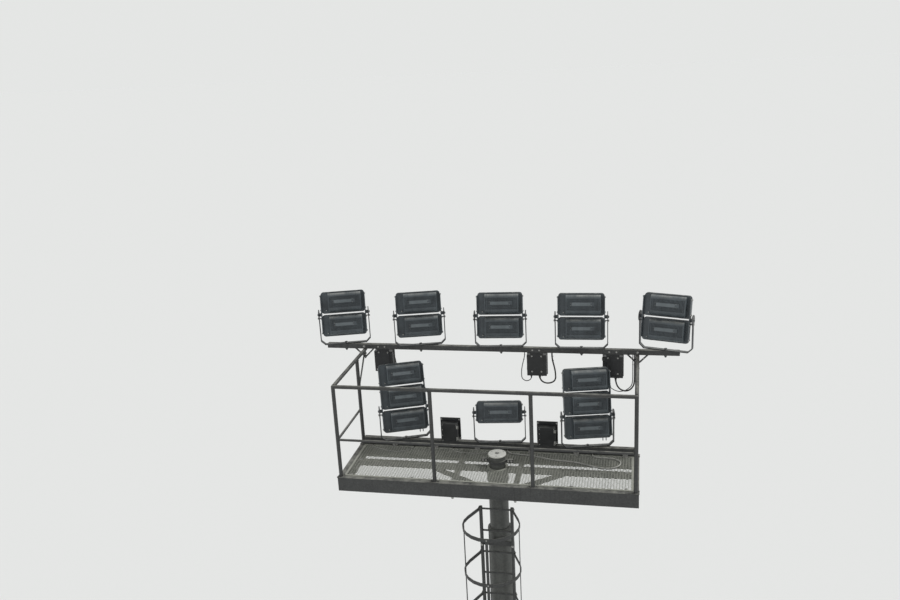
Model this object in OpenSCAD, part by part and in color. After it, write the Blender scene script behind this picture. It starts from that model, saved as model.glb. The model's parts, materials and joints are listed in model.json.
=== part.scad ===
// Stadium floodlight mast: tapered column, caged ladder, service basket and eight aimed LED floodlights.
// Millimetres, +Z up. The origin is the centre of the base flange's underside, and +Y points at the pitch.

/* [Column] */
// Height of the basket floor above the ground
floor_z = 25700; // [22000:100:30000]
// Column diameter at the ground
base_d = 600; // [520:10:700]
// Column diameter at its top
top_d = 265; // [250:5:320]
// Distance from the basket floor down to the top of the tapered column
neck_h = 780; // [600:10:1100]
// Diameter of the plain tube between the column and the basket
tube_d = 219; // [195:1:235]
// Height of the first slip joint
joint_1_z = 9000; // [8000:100:10500]
// Height of the second slip joint
joint_2_z = 17500; // [16000:100:19000]
// Wall of the section that slips over the one below
slip_wall = 6; // [4:1:8]

/* [Base] */
// Diameter of the base flange
flange_d = 940; // [900:10:1100]
// Thickness of the base flange
flange_t = 40; // [25:1:60]
// Bolt circle of the anchor bolts
anchor_pcd = 820; // [800:5:860]
// Hole for one anchor bolt
anchor_hole_d = 39; // [26:1:45]
// Number of anchor bolts
anchor_n = 12; // [8:2:16]
// Height of the gussets on the flange
gusset_h = 200; // [120:10:300]
// Thickness of a gusset
gusset_t = 14; // [8:1:20]
// Width of the cable door at the foot
door_w = 190; // [120:5:240]
// Height of the cable door
door_h = 640; // [400:10:900]
// Height of the cable door's lower edge
door_z = 560; // [400:10:900]
// Thickness of the cable door
door_t = 8; // [4:1:12]

/* [Ladder] */
// Distance between rungs
rung_pitch = 272; // [250:1:300]
// Clear width between the stiles
ladder_w = 320; // [300:5:400]
// Width of a stile, seen from the front
stile_w = 30; // [15:1:40]
// Depth of a stile
stile_d = 50; // [40:1:70]
// Diameter of a rung
rung_d = 22; // [18:1:28]
// Gap from the column's face to the middle of the stiles
ladder_gap = 70; // [60:1:180]
// Distance from the basket floor down to the top rung
ladder_drop = 424; // [380:1:600]
// Height of the lowest rung at least
ladder_start = 420; // [350:10:900]

/* [Cage] */
// Radius of the safety hoops
hoop_r = 305; // [290:1:380]
// Distance from the stiles to the middle of a hoop's curve
hoop_offset = 345; // [320:1:400]
// Height of a hoop's flat bar
hoop_h = 40; // [30:1:60]
// Thickness of a hoop's flat bar
hoop_t = 8; // [5:1:12]
// Width of the straps that join the hoops
strap_w = 30; // [20:1:50]
// Height at which the cage begins
cage_start = 2350; // [2200:50:3000]

/* [Basket] */
// Width of the basket between its corner posts
basket_w = 3225; // [2900:5:3600]
// Depth of the basket between its corner posts
basket_d = 850; // [800:5:1100]
// How far the basket stands to the left of the column
basket_shift = 89; // [0:1:120]
// Height of the floor frame's channels
edge_h = 160; // [120:5:200]
// Flange width of the channels
edge_w = 65; // [50:1:80]
// Wall of the channels
edge_t = 8; // [5:1:10]
// Section of the main beam, which is square
beam_s = 60; // [50:1:80]
// Section of the floor joists, which is square
joist_s = 50; // [40:1:60]
// Distance from the middle of the basket to a joist
joist_x = 345; // [250:5:450]
// Reach of the knee braces along the main beam
brace_x = 755; // [600:5:900]
// Section of a knee brace
brace_s = 45; // [30:1:60]
// Distance from the basket floor down to the foot of the knee braces
brace_drop = 330; // [290:5:400]
// Thickness of the floor mesh
mesh_t = 6; // [4:1:8]
// Length of a mesh opening
mesh_l = 120; // [100:5:150]
// Width of a mesh opening
mesh_w = 62; // [50:1:80]
// Width of a strand of the mesh
strand_w = 14; // [10:1:20]

/* [Guardrail] */
// Height of the top rail's middle above the floor
rail_h = 1080; // [1000:5:1150]
// Height of the middle rail above the floor
mid_h = 450; // [400:5:600]
// Diameter of the top rail and posts
rail_d = 42; // [38:1:50]
// Diameter of the middle rail
mid_d = 27; // [20:1:34]

/* [Lamp arms] */
// Distance of the upper arm beyond the basket's far posts
arm_reach = 332; // [300:1:400]
// Length of the upper arm
arm_len = 4140; // [4060:10:4400]
// Section of the upper arm, which is square
arm_s = 56; // [50:1:70]
// Height of the lower arm's section
sill_h = 92; // [80:1:110]
// Width of the lower arm's section
sill_w = 60; // [56:1:64]
// Wall of the lower arm
sill_t = 6; // [5:1:8]

/* [Spigot] */
// Diameter of the spigot above the floor
spigot_d = 178; // [160:1:185]
// Height of the spigot's top above the floor
spigot_h = 150; // [130:1:220]
// Diameter of the cap
cap_d = 200; // [190:1:230]
// Thickness of the cap
cap_t = 16; // [10:1:24]
// Reach of the saddle's lugs from the middle of the column
saddle_x = 180; // [150:1:220]

/* [Lamps] */
// Width of a lamp module
lamp_w = 520; // [480:5:540]
// Height of a lamp module
module_h = 260; // [240:1:268]
// Distance between modules
module_pitch = 275; // [270:1:285]
// Depth of a module behind its pivot
lamp_back = 85; // [70:1:95]
// Depth of a module in front of its pivot
lamp_front = 40; // [30:1:50]
// Depth of a module's frame behind its pivot
frame_back = 8; // [4:1:14]
// Radius of the frame's corners
corner_r = 34; // [20:1:40]
// Width of the curved housing behind the frame
housing_w = 390; // [370:5:400]
// Height of the housing
housing_h = 224; // [216:2:230]
// How far the housing stands to the right of the frame's middle
housing_shift = 24; // [0:1:30]
// Radius of the housing's upper shoulder
shoulder_r = 38; // [30:1:40]
// Radius of the housing's lower shoulder
belly_r = 50; // [40:1:52]
// Depth of the cooling fins, which stand in a recess of the housing
fin_depth = 10; // [6:1:14]
// Thickness of a cooling fin
fin_t = 5; // [3:0.5:7]
// Number of cooling fins on a module
fin_n = 25; // [15:1:27]
// Outer width of a yoke
yoke_w = 600; // [590:1:620]
// Height of a yoke from its arm to the pivots
yoke_h = 380; // [360:1:400]
// Thickness of a yoke's flat bar
yoke_t = 10; // [6:1:12]
// Width of a yoke's flat bar
yoke_d = 50; // [40:1:56]
// Diameter of a pivot pin
pivot_d = 16; // [12:1:20]
// Diameter of the bolt that holds a yoke on its arm
pan_bolt_d = 20; // [16:1:24]
// How far a lamp tilts each way along its slot, in degrees
tilt_travel = 15; // [10:1:15]

/* [Control gear] */
// Width of a control gear box
gear_w = 240; // [220:5:260]
// Height of a control gear box
gear_h = 270; // [220:5:280]
// Depth of a control gear box
gear_d = 90; // [70:5:110]
// Distance from the upper arm's top down to a gear box that hangs from it
gear_drop = 102; // [70:2:120]

/* [Cables] */
// Diameter of the thick cables
cable_d = 18; // [14:1:20]
// Diameter of the thin leads
lead_d = 10; // [7:1:11]

/* [Hidden] */
$fn = 64;

// Clearance of a curved seat, and the play of a turning part
seat = 0.3;

// Each lamp: row, place along its arm from the middle of the basket, turn and tilt at rest in degrees,
// number of modules, and how many of them hang below the pivots
LAMPS = [
    ["upper", -1843, 17, 15, 2, 1],
    ["upper", -912, 15, 14, 2, 1],
    ["upper", 53, 5, 13, 2, 1],
    ["upper", 984, 2, 12, 2, 1],
    ["upper", 1920, -16, 13, 2, 1],
    ["lower", -1075, 22, 16, 3, 1],
    ["lower", 58, 7, 16, 1, 0.5],
    ["lower", 1067, 13, 11, 3, 1]
];
function lamp_row(i) = LAMPS[i][0];
function lamp_x(i) = LAMPS[i][1];
function lamp_pan(i) = LAMPS[i][2];
function lamp_tilt(i) = LAMPS[i][3];
function lamp_modules(i) = LAMPS[i][4];
function lamp_below(i) = LAMPS[i][5];

// Places of the gear boxes along the arms
UPPER_GEAR_X = [-1396, 461, 1337];
LOWER_GEAR_X = [-533, 606];

neck_z = floor_z - neck_h;
mid_x = -basket_shift;
near_y = -basket_d / 2;
far_y = basket_d / 2;
arm_y = far_y + arm_reach;
rail_z = floor_z + rail_h;
arm_z = rail_z + rail_d / 2 + seat + arm_s / 2;
arm_top = arm_z + arm_s / 2;
sill_top = floor_z + sill_h;
sill_l = basket_w - rail_d - 2 * seat;

function column_r(z) = base_d / 2 + (top_d - base_d) / 2 * z / neck_z;
lean = atan((base_d - top_d) / 2 / neck_z);
ladder_foot_y = -base_d / 2 - ladder_gap;

rung_top = (floor_z - ladder_drop) / cos(lean);
rung_n = floor((rung_top - ladder_start) / rung_pitch);
ladder_split = [0, floor(rung_n / 6) * 2, floor(rung_n / 3) * 2, rung_n + 1];
hoop_n = floor((rung_top - cage_start) / (2 * rung_pitch)) + 1;
hoop_split = [0, ladder_split[1] / 2, ladder_split[2] / 2, hoop_n];
stile_x = ladder_w / 2 + stile_w / 2;

function arc(r, from, to, n) = [
    for (k = [0:n]) let (a = from + (to - from) * k / n) [r * cos(a), r * sin(a)]
];

// The tapered column, grown by a clearance where it cuts its neighbours
module section(z0, z1, r0, r1, grow = 0) {
    translate([0, 0, z0])
        cylinder(h = z1 - z0, r1 = r0 + grow, r2 = r1 + grow);
}
module lower_section(grow = 0) {
    section(flange_t, joint_1_z, column_r(flange_t), column_r(joint_1_z), grow);
}
module middle_section(grow = 0) {
    section(joint_1_z, joint_2_z, column_r(joint_1_z) + slip_wall, column_r(joint_2_z), grow);
}
module upper_section(grow = 0) {
    section(joint_2_z, neck_z, column_r(joint_2_z) + slip_wall, top_d / 2, grow);
}
module column_shape(grow) {
    lower_section(grow);
    middle_section(grow);
    upper_section(grow);
}

module base_plate() {
    color("darkgray") {
        difference() {
            cylinder(h = flange_t, d = flange_d);
            for (k = [0:anchor_n - 1])
                rotate([0, 0, (k + 0.5) * 360 / anchor_n])
                    translate([anchor_pcd / 2, 0, -1])
                        cylinder(h = flange_t + 2, d = anchor_hole_d);
        }
        for (k = [0:anchor_n - 1])
            rotate([90, 0, k * 360 / anchor_n])
                linear_extrude(gusset_t, center = true)
                    gusset_profile();
    }
}
module gusset_profile() {
    inner = 0.6;
    toe = 30;
    foot = flange_t - 1;
    top = flange_t + gusset_h;
    polygon([
        [column_r(foot) + inner, foot], [flange_d / 2 - 10, foot], [flange_d / 2 - 10, flange_t + toe],
        [column_r(top) + inner + toe, top], [column_r(top) + inner, top]
    ]);
}

module column_lower() {
    color("lightgray") lower_section();
}
module column_middle() {
    color("lightgray") middle_section();
}
module column_upper() {
    color("lightgray") upper_section();
}

module cable_door() {
    color("gray")
        difference() {
            intersection() {
                lower_section(door_t);
                translate([0, -door_w / 2, door_z])
                    cube([base_d, door_w, door_h]);
            }
            lower_section(seat);
        }
}

module neck_collar() {
    color("silver")
        translate([0, 0, neck_z])
            difference() {
                union() {
                    cylinder(h = 22, d = top_d + 8);
                    translate([0, 0, 22])
                        cylinder(h = 14, d1 = top_d + 8, d2 = tube_d + 16);
                }
                translate([0, 0, -1])
                    cylinder(h = 40, d = tube_d + 2 * seat);
            }
}

module head_tube() {
    color("silver") {
        translate([0, 0, neck_z])
            cylinder(h = neck_h, d = tube_d);
        translate([0, 0, floor_z - 1])
            cylinder(h = spigot_h + 1, d = spigot_d);
    }
}

module spigot_cap() {
    rim = 4;
    color("whitesmoke")
        translate([0, 0, floor_z + spigot_h]) {
            cylinder(h = cap_t - rim, d = cap_d);
            translate([0, 0, cap_t - rim])
                cylinder(h = rim, d1 = cap_d, d2 = cap_d - 2 * rim);
        }
}

// The ladder leans with the column's face: z runs up along the stiles, y = 0 is the stiles' middle
module on_ladder() {
    translate([0, ladder_foot_y, 0])
        rotate([-lean, 0, 0])
            children();
}
function rung_z(k) = rung_top - k * rung_pitch;

module ladder_section(part) {
    first = ladder_split[part];
    last = ladder_split[part + 1] - 1;
    head = part == 0 ? rung_z(0) + rung_d : rung_z(first) + rung_pitch / 2;
    foot = part == 2 ? rung_z(last) - 120 : rung_z(last) - rung_pitch / 2;
    on_ladder() {
        for (side = [-1, 1])
            translate([side * stile_x - stile_w / 2, -stile_d / 2, foot])
                cube([stile_w, stile_d, head - foot]);
        for (k = [first:last])
            translate([0, 0, rung_z(k)])
                rotate([0, 90, 0])
                    cylinder(h = ladder_w + stile_w, d = rung_d, center = true, $fn = 8);
    }
}
module ladder_upper() {
    color("dimgray") ladder_section(0);
}
module ladder_middle() {
    color("dimgray") ladder_section(1);
}
module ladder_lower() {
    color("dimgray") ladder_section(2);
}

// One bracket: a cross plate behind the stiles and a block that meets the column
bracket_pitch = 8 * rung_pitch;
bracket_h = 60;
bracket_t = 10;
bracket_n = floor((neck_z - 60 - ladder_start) / bracket_pitch) + 1;
module ladder_brackets() {
    plate_y = stile_d / 2;
    color("silver")
        difference() {
            on_ladder()
                for (k = [0:bracket_n - 1])
                    translate([0, 0, neck_z - 90 - bracket_h / 2 - k * bracket_pitch]) {
                        translate([-stile_x - stile_w / 2, plate_y, 0])
                            cube([2 * stile_x + stile_w, bracket_t, bracket_h]);
                        translate([-55, plate_y + bracket_t - 1, 0])
                            cube([110, ladder_gap - plate_y + 20, bracket_h]);
                    }
            column_shape(seat);
        }
}

// A safety hoop runs from stile to stile: straight cheeks and an arc of flat bar
hoop_reach = 115;
hoop_steps = 14;
function cheek_x(r) = stile_x + stile_w / 2 + r - hoop_r;
function hoop_edge(r) = concat(
    [[-cheek_x(r), stile_d / 2 - 5], [-cheek_x(r), -stile_d / 2 - 2]],
    [for (p = arc(r, 270 - hoop_reach, 270 + hoop_reach, hoop_steps)) [p[0], p[1] - hoop_offset]],
    [[cheek_x(r), -stile_d / 2 - 2], [cheek_x(r), stile_d / 2 - 5]]
);
function reversed(list) = [for (k = [len(list) - 1:-1:0]) list[k]];

module hoop() {
    linear_extrude(hoop_h, center = true)
        polygon(concat(hoop_edge(hoop_r + hoop_t), reversed(hoop_edge(hoop_r))));
}

module cage_section(part) {
    first = hoop_split[part];
    last = hoop_split[part + 1] - 1;
    half = rung_pitch;
    head = part == 0 ? rung_z(0) + hoop_h / 2 : rung_z(2 * first) + half;
    foot = part == 2 ? rung_z(2 * last) - hoop_h / 2 : rung_z(2 * last) - half;
    on_ladder() {
        for (k = [first:last])
            translate([0, 0, rung_z(2 * k)])
                hoop();
        for (angle = [-90, 0, 90])
            translate([0, -hoop_offset, 0])
                rotate([0, 0, angle])
                    translate([-strap_w / 2, -hoop_r - 1, foot])
                        cube([strap_w, 6, head - foot]);
    }
}
module cage_upper() {
    color("dimgray") cage_section(0);
}
module cage_middle() {
    color("dimgray") cage_section(1);
}
module cage_lower() {
    color("dimgray") cage_section(2);
}

// The main beam: a sleeve that slips over the tube, and an arm to each side of the floor frame
sleeve_t = 12;
end_plate_t = 8;
arm_left = mid_x - basket_w / 2 + edge_w / 2;
arm_right = mid_x + basket_w / 2 - edge_w / 2;
module main_beam() {
    color("silver")
        difference() {
            union() {
                translate([0, 0, floor_z - edge_h])
                    cylinder(h = edge_h, d = tube_d + 2 * (seat + sleeve_t));
                translate([arm_left, -beam_s / 2, floor_z - beam_s])
                    cube([arm_right - arm_left, beam_s, beam_s]);
                for (x = [arm_left, arm_right - end_plate_t])
                    translate([x, -beam_s / 2 - 10, floor_z - edge_h])
                        cube([end_plate_t, beam_s + 20, edge_h]);
            }
            translate([0, 0, floor_z - edge_h - 1])
                cylinder(h = edge_h + 2, d = tube_d + 2 * seat);
        }
}

module knee_braces() {
    top = floor_z - beam_s;
    foot = floor_z - brace_drop;
    color("silver")
        difference() {
            for (side = [0, 1])
                mirror([side, 0, 0])
                    rotate([90, 0, 0])
                        linear_extrude(brace_s, center = true)
                            polygon([
                                [tube_d / 4, foot], [tube_d / 2 + 10, foot], [brace_x, top - 10],
                                [brace_x, top], [brace_x - 1.6 * brace_s, top],
                                [tube_d / 2 + 10, foot + 1.3 * brace_s],
                                [tube_d / 4, foot + 1.3 * brace_s]
                            ]);
            translate([0, 0, neck_z])
                cylinder(h = neck_h, d = tube_d + 2 * seat);
        }
}

module channel_profile() {
    difference() {
        square([edge_w, edge_h]);
        translate([edge_t, edge_t])
            square([edge_w, edge_h - 2 * edge_t]);
    }
}
module floor_frame() {
    frame_l = basket_w + edge_w;
    frame_d = basket_d + edge_w;
    joist_y = [near_y, beam_s / 2];
    joist_len = basket_d / 2 - beam_s / 2;
    color("silver") {
        translate([mid_x, 0, floor_z - edge_h]) {
            for (turn = [0, 180])
                rotate([0, 0, turn]) {
                    translate([-frame_l / 2, -frame_d / 2, 0])
                        rotate([90, 0, 90])
                            linear_extrude(frame_l)
                                channel_profile();
                    translate([-frame_l / 2, frame_d / 2, 0])
                        rotate([90, 0, 0])
                            linear_extrude(frame_d)
                                channel_profile();
                }
        }
        for (side = [-1, 1])
            for (y = joist_y)
                translate([mid_x + side * joist_x - joist_s / 2, y, floor_z - joist_s])
                    cube([joist_s, joist_len, joist_s]);
    }
}

// Expanded mesh: rows of diamond openings, every other row half a step along
mesh_x0 = mid_x - basket_w / 2 + rail_d / 2 + 6;
mesh_x1 = mid_x + basket_w / 2 - rail_d / 2 - 6;
mesh_y0 = near_y + rail_d / 2 + 6;
mesh_y1 = far_y - sill_w / 2 - 2;
module floor_mesh() {
    rim = 20;
    cols = floor((mesh_x1 - mesh_x0 - 2 * rim) / mesh_l);
    rows = floor((mesh_y1 - mesh_y0 - 2 * rim) / mesh_w);
    step_x = (mesh_x1 - mesh_x0 - 2 * rim) / cols;
    step_y = (mesh_y1 - mesh_y0 - 2 * rim) / rows;
    color("darkgray")
        translate([0, 0, floor_z])
            difference() {
                linear_extrude(mesh_t)
                    difference() {
                        translate([mesh_x0, mesh_y0])
                            square([mesh_x1 - mesh_x0, mesh_y1 - mesh_y0]);
                        for (r = [0:rows - 1])
                            for (c = [0:cols - 1 - r % 2])
                                translate([
                                    mesh_x0 + rim + (c + 0.5 + (r % 2) / 2) * step_x,
                                    mesh_y0 + rim + (r + 0.5) * step_y
                                ])
                                    diamond(step_x - 2 * strand_w, step_y * 1.35 - strand_w);
                    }
                translate([0, 0, -1])
                    cylinder(h = mesh_t + 2, d = spigot_d + 8);
            }
}
module diamond(l, w) {
    polygon([[-l / 2, 0], [0, -w / 2], [l / 2, 0], [0, w / 2]]);
}

module spigot_saddle() {
    lug_h = 34;
    ring_t = 10;
    color("silver")
        translate([0, 0, floor_z + 62])
            difference() {
                union() {
                    cylinder(h = lug_h, d = spigot_d + 2 * (seat + ring_t));
                    translate([-saddle_x, -15, 0])
                        cube([2 * saddle_x, 30, lug_h]);
                }
                translate([0, 0, -1])
                    cylinder(h = lug_h + 2, d = spigot_d + 2 * seat);
            }
}

module post(x, y) {
    translate([x, y, floor_z])
        cylinder(h = rail_h, d = rail_d);
}
module rail(x0, x1, y, z, d) {
    translate([x0, y, z])
        rotate([0, 90, 0])
            cylinder(h = x1 - x0, d = d);
}
module near_guardrail() {
    color("dimgray") {
        for (t = [-0.5, -1 / 6, 1 / 6, 0.5])
            post(mid_x + t * basket_w, near_y);
        for (side = [-1, 1])
            translate([mid_x + side * basket_w / 2, near_y, rail_z])
                sphere(d = rail_d);
        rail(mid_x - basket_w / 2, mid_x + basket_w / 2, near_y, rail_z, rail_d);
        rail(mid_x - basket_w / 2, mid_x + basket_w / 2, near_y, floor_z + mid_h, mid_d);
    }
}
// One leg of the V under the end of the upper arm
module arm_strut() {
    top = rail_d / 2;
    polygon([[0, -104], [0, -80], [4, -80], [top + 84, top], [top + 108, top], [4, -104]]);
}
module side_guardrails() {
    brace_h = 360;
    color("dimgray")
        difference() {
            for (side = [-1, 1])
                translate([mid_x + side * basket_w / 2, 0, 0]) {
                    post(0, far_y);
                    translate([0, near_y, rail_z])
                        rotate([-90, 0, 0])
                            cylinder(h = arm_y + arm_s / 2 - near_y, d = rail_d);
                    translate([0, near_y, floor_z + mid_h])
                        rotate([-90, 0, 0])
                            cylinder(h = basket_d, d = mid_d);
                    rotate([90, 0, 90])
                        linear_extrude(12, center = true)
                            polygon([
                                [far_y, rail_z - brace_h - 24], [arm_y, rail_z - 12], [arm_y, rail_z],
                                [arm_y - 24, rail_z], [far_y, rail_z - brace_h]
                            ]);
                    translate([-6, arm_y - 14, rail_z - 108])
                        cube([12, 28, 104]);
                    for (turn = [0, 1])
                        mirror([turn, 0, 0])
                            translate([0, arm_y + 5, rail_z])
                                rotate([90, 0, 0])
                                    linear_extrude(10)
                                        arm_strut();
                }
            for (side = [-1, 1])
                translate([mid_x + side * basket_w / 2, near_y, floor_z])
                    cylinder(h = rail_h + rail_d, d = rail_d + 2 * seat);
            rail(mid_x - basket_w / 2, mid_x + basket_w / 2, near_y, rail_z, rail_d + 2 * seat);
        }
}

module upper_arm() {
    color("silver")
        difference() {
            translate([mid_x - arm_len / 2, arm_y - arm_s / 2, arm_z - arm_s / 2])
                cube([arm_len, arm_s, arm_s]);
            for (i = [0:len(LAMPS) - 1])
                if (lamp_row(i) == "upper")
                    translate([mid_x + lamp_x(i), arm_y, arm_z])
                        cylinder(h = arm_s + 2, d = pan_bolt_d + 2, center = true);
        }
}
module lower_arm() {
    color("silver")
        translate([mid_x, far_y, floor_z])
            difference() {
                rotate([90, 0, 90])
                    linear_extrude(sill_l, center = true)
                        difference() {
                            translate([-sill_w / 2, 0])
                                square([sill_w, sill_h]);
                            translate([-sill_w / 2 + sill_t, -1])
                                square([sill_w - 2 * sill_t, sill_h - sill_t + 1]);
                        }
                for (i = [0:len(LAMPS) - 1])
                    if (lamp_row(i) == "lower")
                        translate([lamp_x(i), 0, sill_h])
                            cylinder(h = 3 * sill_t, d = pan_bolt_d + 2, center = true);
            }
}

// A gear box with a lid that stands proud of its body
gear_lip = 6;
gear_lid = 14;
module gear_box() {
    translate([-gear_w / 2 + gear_lip, 0, gear_lip])
        cube([gear_w - 2 * gear_lip, gear_d - gear_lid, gear_h - 2 * gear_lip]);
    translate([-gear_w / 2, gear_d - gear_lid, 0])
        cube([gear_w, gear_lid, gear_h]);
}
// The upper boxes hang from plates on the arm's far face
module upper_gear_boxes() {
    plate_w = 150;
    plate_t = 5;
    color("dimgray")
        for (x = UPPER_GEAR_X)
            translate([mid_x + x, arm_y + arm_s / 2, arm_top - gear_drop - gear_h]) {
                translate([0, plate_t - 1, 0])
                    gear_box();
                translate([-plate_w / 2, 0, 40])
                    cube([plate_w, plate_t, gear_h + gear_drop - 50]);
                for (gland = GLANDS)
                    translate([gland[0], gland_y, -gland_h])
                        cylinder(h = gland_h + gear_lip + 2, d = gland[1] + 10, $fn = 6);
            }
}

// Cables hang in loops between the gear boxes' glands and the arm or the guardrail
GLANDS = [[-70, lead_d], [30, cable_d], [60, lead_d]];
gland_y = 44;
gland_h = 10;
gear_y = arm_y + arm_s / 2;
gear_low = arm_top - gear_drop - gear_h;
cable_top = gear_low - gland_h - seat;
function gland_at(box, g) = [mid_x + UPPER_GEAR_X[box] + GLANDS[g][0], gear_y + gland_y, cable_top];
arm_low = arm_z - arm_s / 2 - seat;
side_x = mid_x + basket_w / 2;
function placed(at, list) = [for (p = list) at + p];
function ring(at, dir, r, side) = let (
    t = dir / norm(dir),
    u = cross(t, side) / norm(cross(t, side)),
    w = cross(u, t)
) [for (k = [0:cable_sides - 1]) at + r * (cos(360 * k / cable_sides) * u + sin(360 * k / cable_sides) * w)];
cable_sides = 10;
module sweep(line, d, side = [0, 1, 0]) {
    n = len(line);
    rings = [
        for (i = [0:n - 1]) each ring(line[i], line[min(i + 1, n - 1)] - line[max(i - 1, 0)], d / 2, side)
    ];
    sides = [for (i = [0:n - 2]) for (k = [0:cable_sides - 1]) let (
        a = i * cable_sides + k,
        b = i * cable_sides + (k + 1) % cable_sides
    ) each [[a, a + cable_sides, b], [b, a + cable_sides, b + cable_sides]]];
    caps = [
        [for (k = [0:cable_sides - 1]) k],
        [for (k = [cable_sides - 1:-1:0]) (n - 1) * cable_sides + k]
    ];
    color("black")
        polyhedron(rings, concat(sides, caps));
}
// A cable leaves gland g of a box, and ends under the arm
module cable(box, g, x, d, down, up) {
    sweep(concat(placed(gland_at(box, g), down), placed([x, arm_y, arm_low], up)), d);
}
module loop_cable() {
    cable(1, 1, mid_x + UPPER_GEAR_X[1], cable_d, [
        [0, 0, 0], [0, 0, -14], [6, 0, -38], [24, 0, -64], [54, 0, -82], [90, 0, -88],
        [126, 0, -82], [158, 0, -66], [178, 0, -40], [184, 0, -14]
    ], [
        [214, 69, -305], [212, 63, -262], [206, 53, -216], [198, 40, -168], [190, 25, -120],
        [185, 10, -75], [184, 0, -34], [184, 0, 0]
    ]);
}
module loop_lead() {
    cable(1, 0, mid_x + UPPER_GEAR_X[1], lead_d, [
        [0, 0, 0], [0, 0, -10], [-4, 0, -30], [-14, 0, -48], [-32, 0, -60], [-54, 0, -66],
        [-74, 0, -64], [-94, 0, -52], [-108, 0, -36], [-114, 0, -18]
    ], [
        [-185, 70, -330], [-185, 67, -290], [-181, 60, -245], [-173, 48, -200], [-162, 34, -155],
        [-150, 19, -110], [-139, 6, -66], [-134, 0, -28], [-134, 0, 0]
    ]);
}
module rail_cable() {
    cable(2, 1, side_x, cable_d, [
        [0, 0, 0], [0, 0, -14], [4, 0, -48], [16, 0, -88], [38, 0, -122], [66, 0, -144],
        [100, -2, -154], [132, -6, -150], [164, -12, -132], [188, -16, -104], [206, -18, -66]
    ], [
        [-33, 50, -345], [-31, 45, -300], [-31, 38, -250], [-31, 31, -200], [-31, 25, -150],
        [-31, 20, -100], [-31, 17, -50], [-31, 17, 0]
    ]);
}
module rail_lead() {
    cable(2, 0, side_x, lead_d, [
        [0, 0, 0], [0, 0, -12], [4, 2, -46], [16, 8, -84], [38, 14, -120], [66, 18, -146],
        [102, 18, -164], [138, 18, -172], [176, 18, -168], [214, 16, -154], [244, 12, -130],
        [270, 4, -100], [286, -4, -62]
    ], [
        [-54, 68, -345], [-52, 59, -300], [-52, 49, -250], [-52, 39, -200], [-52, 29, -150],
        [-52, 21, -100], [-52, 17, -50], [-52, 17, 0]
    ]);
}
module side_lead() {
    cable(0, 2, mid_x + UPPER_GEAR_X[0], lead_d, [
        [0, 0, 0], [0, 0, -10], [4, 0, -26], [14, 0, -42], [32, 0, -50], [50, 0, -52],
        [68, 0, -44], [80, 0, -30], [86, 0, -14]
    ], [
        [146, 72, -310], [147, 69, -272], [147, 62, -232], [146, 53, -190], [143, 42, -146],
        [139, 29, -104], [135, 15, -64], [132, 5, -28], [132, 5, 0]
    ]);
}
// A cable that lies on the mesh, and leaves and enters the near face of the lower arm
sill_face = far_y - sill_w / 2 - seat;
module floor_run(d, route) {
    high = floor_z + mesh_t + seat + d / 2;
    sweep([for (p = route) [p[0] + mid_x, p[1] + sill_face, high]], d, [0, 0, 1]);
}
module floor_cable() {
    floor_run(cable_d, [
        [149, 0], [149, -12], [160, -54], [191, -86], [234, -100], [279, -107], [329, -112],
        [389, -117], [453, -124], [509, -138], [569, -160], [639, -185], [729, -205], [829, -217],
        [929, -231], [1019, -258], [1099, -292], [1179, -327], [1249, -344], [1319, -341],
        [1379, -315], [1423, -270], [1442, -218], [1435, -166], [1401, -124], [1351, -101],
        [1279, -93], [1199, -92], [1159, -81], [1130, -52], [1119, -12], [1119, 0]
    ]);
}
module floor_lead() {
    floor_run(lead_d, [
        [-501, 0], [-501, -16], [-495, -42], [-479, -70], [-453, -92], [-417, -108], [-373, -118],
        [-321, -125], [-261, -129], [-201, -128], [-145, -120], [-95, -104], [-53, -82], [-23, -54],
        [-9, -24], [-9, 0]
    ]);
}
module corner_lead() {
    floor_run(lead_d, [
        [-971, 0], [-971, -16], [-975, -44], [-989, -78], [-1013, -112], [-1047, -142],
        [-1091, -164], [-1143, -174], [-1201, -170], [-1259, -156], [-1315, -137], [-1369, -118],
        [-1419, -98], [-1457, -72], [-1479, -38], [-1483, -14], [-1483, 0]
    ]);
}
// The lower boxes stand on the lower arm: a body and its lid in front of a taller back plate
module lower_gear_boxes() {
    foot_w = 30;
    back_t = 12;
    body_w = gear_w - 44;
    body_h = gear_h - 46;
    color("dimgray")
        for (x = LOWER_GEAR_X)
            translate([mid_x + x, far_y + gear_d / 2, sill_top])
                rotate([0, 0, 180]) {
                    translate([-gear_w / 2, 0, 0])
                        cube([gear_w, back_t, gear_h]);
                    translate([-body_w / 2 + gear_lip / 2, back_t - 1, gear_lip])
                        cube([body_w - gear_lip, gear_d - gear_lid - back_t + 2, body_h - gear_lip - 3]);
                    translate([-body_w / 2, gear_d - gear_lid, 2])
                        cube([body_w, gear_lid, body_h - 2]);
                    for (side = [-1, 1])
                        translate([side * gear_w / 4 - foot_w / 2, back_t + 6, 0])
                            cube([foot_w, gear_d - gear_lid - back_t - 12, gear_lip + 2]);
                }
}

// A lamp's place: the top of its arm under the yoke, turned about the yoke's bolt
module at_yoke(i) {
    upper = lamp_row(i) == "upper";
    translate([mid_x + lamp_x(i), upper ? arm_y : far_y, (upper ? arm_top : sill_top) + seat])
        rotate([0, 0, lamp_pan(i)])
            children();
}
module at_lamp(i) {
    at_yoke(i)
        translate([0, 0, yoke_h])
            rotate([-lamp_tilt(i), 0, 0])
                children();
}

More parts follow.
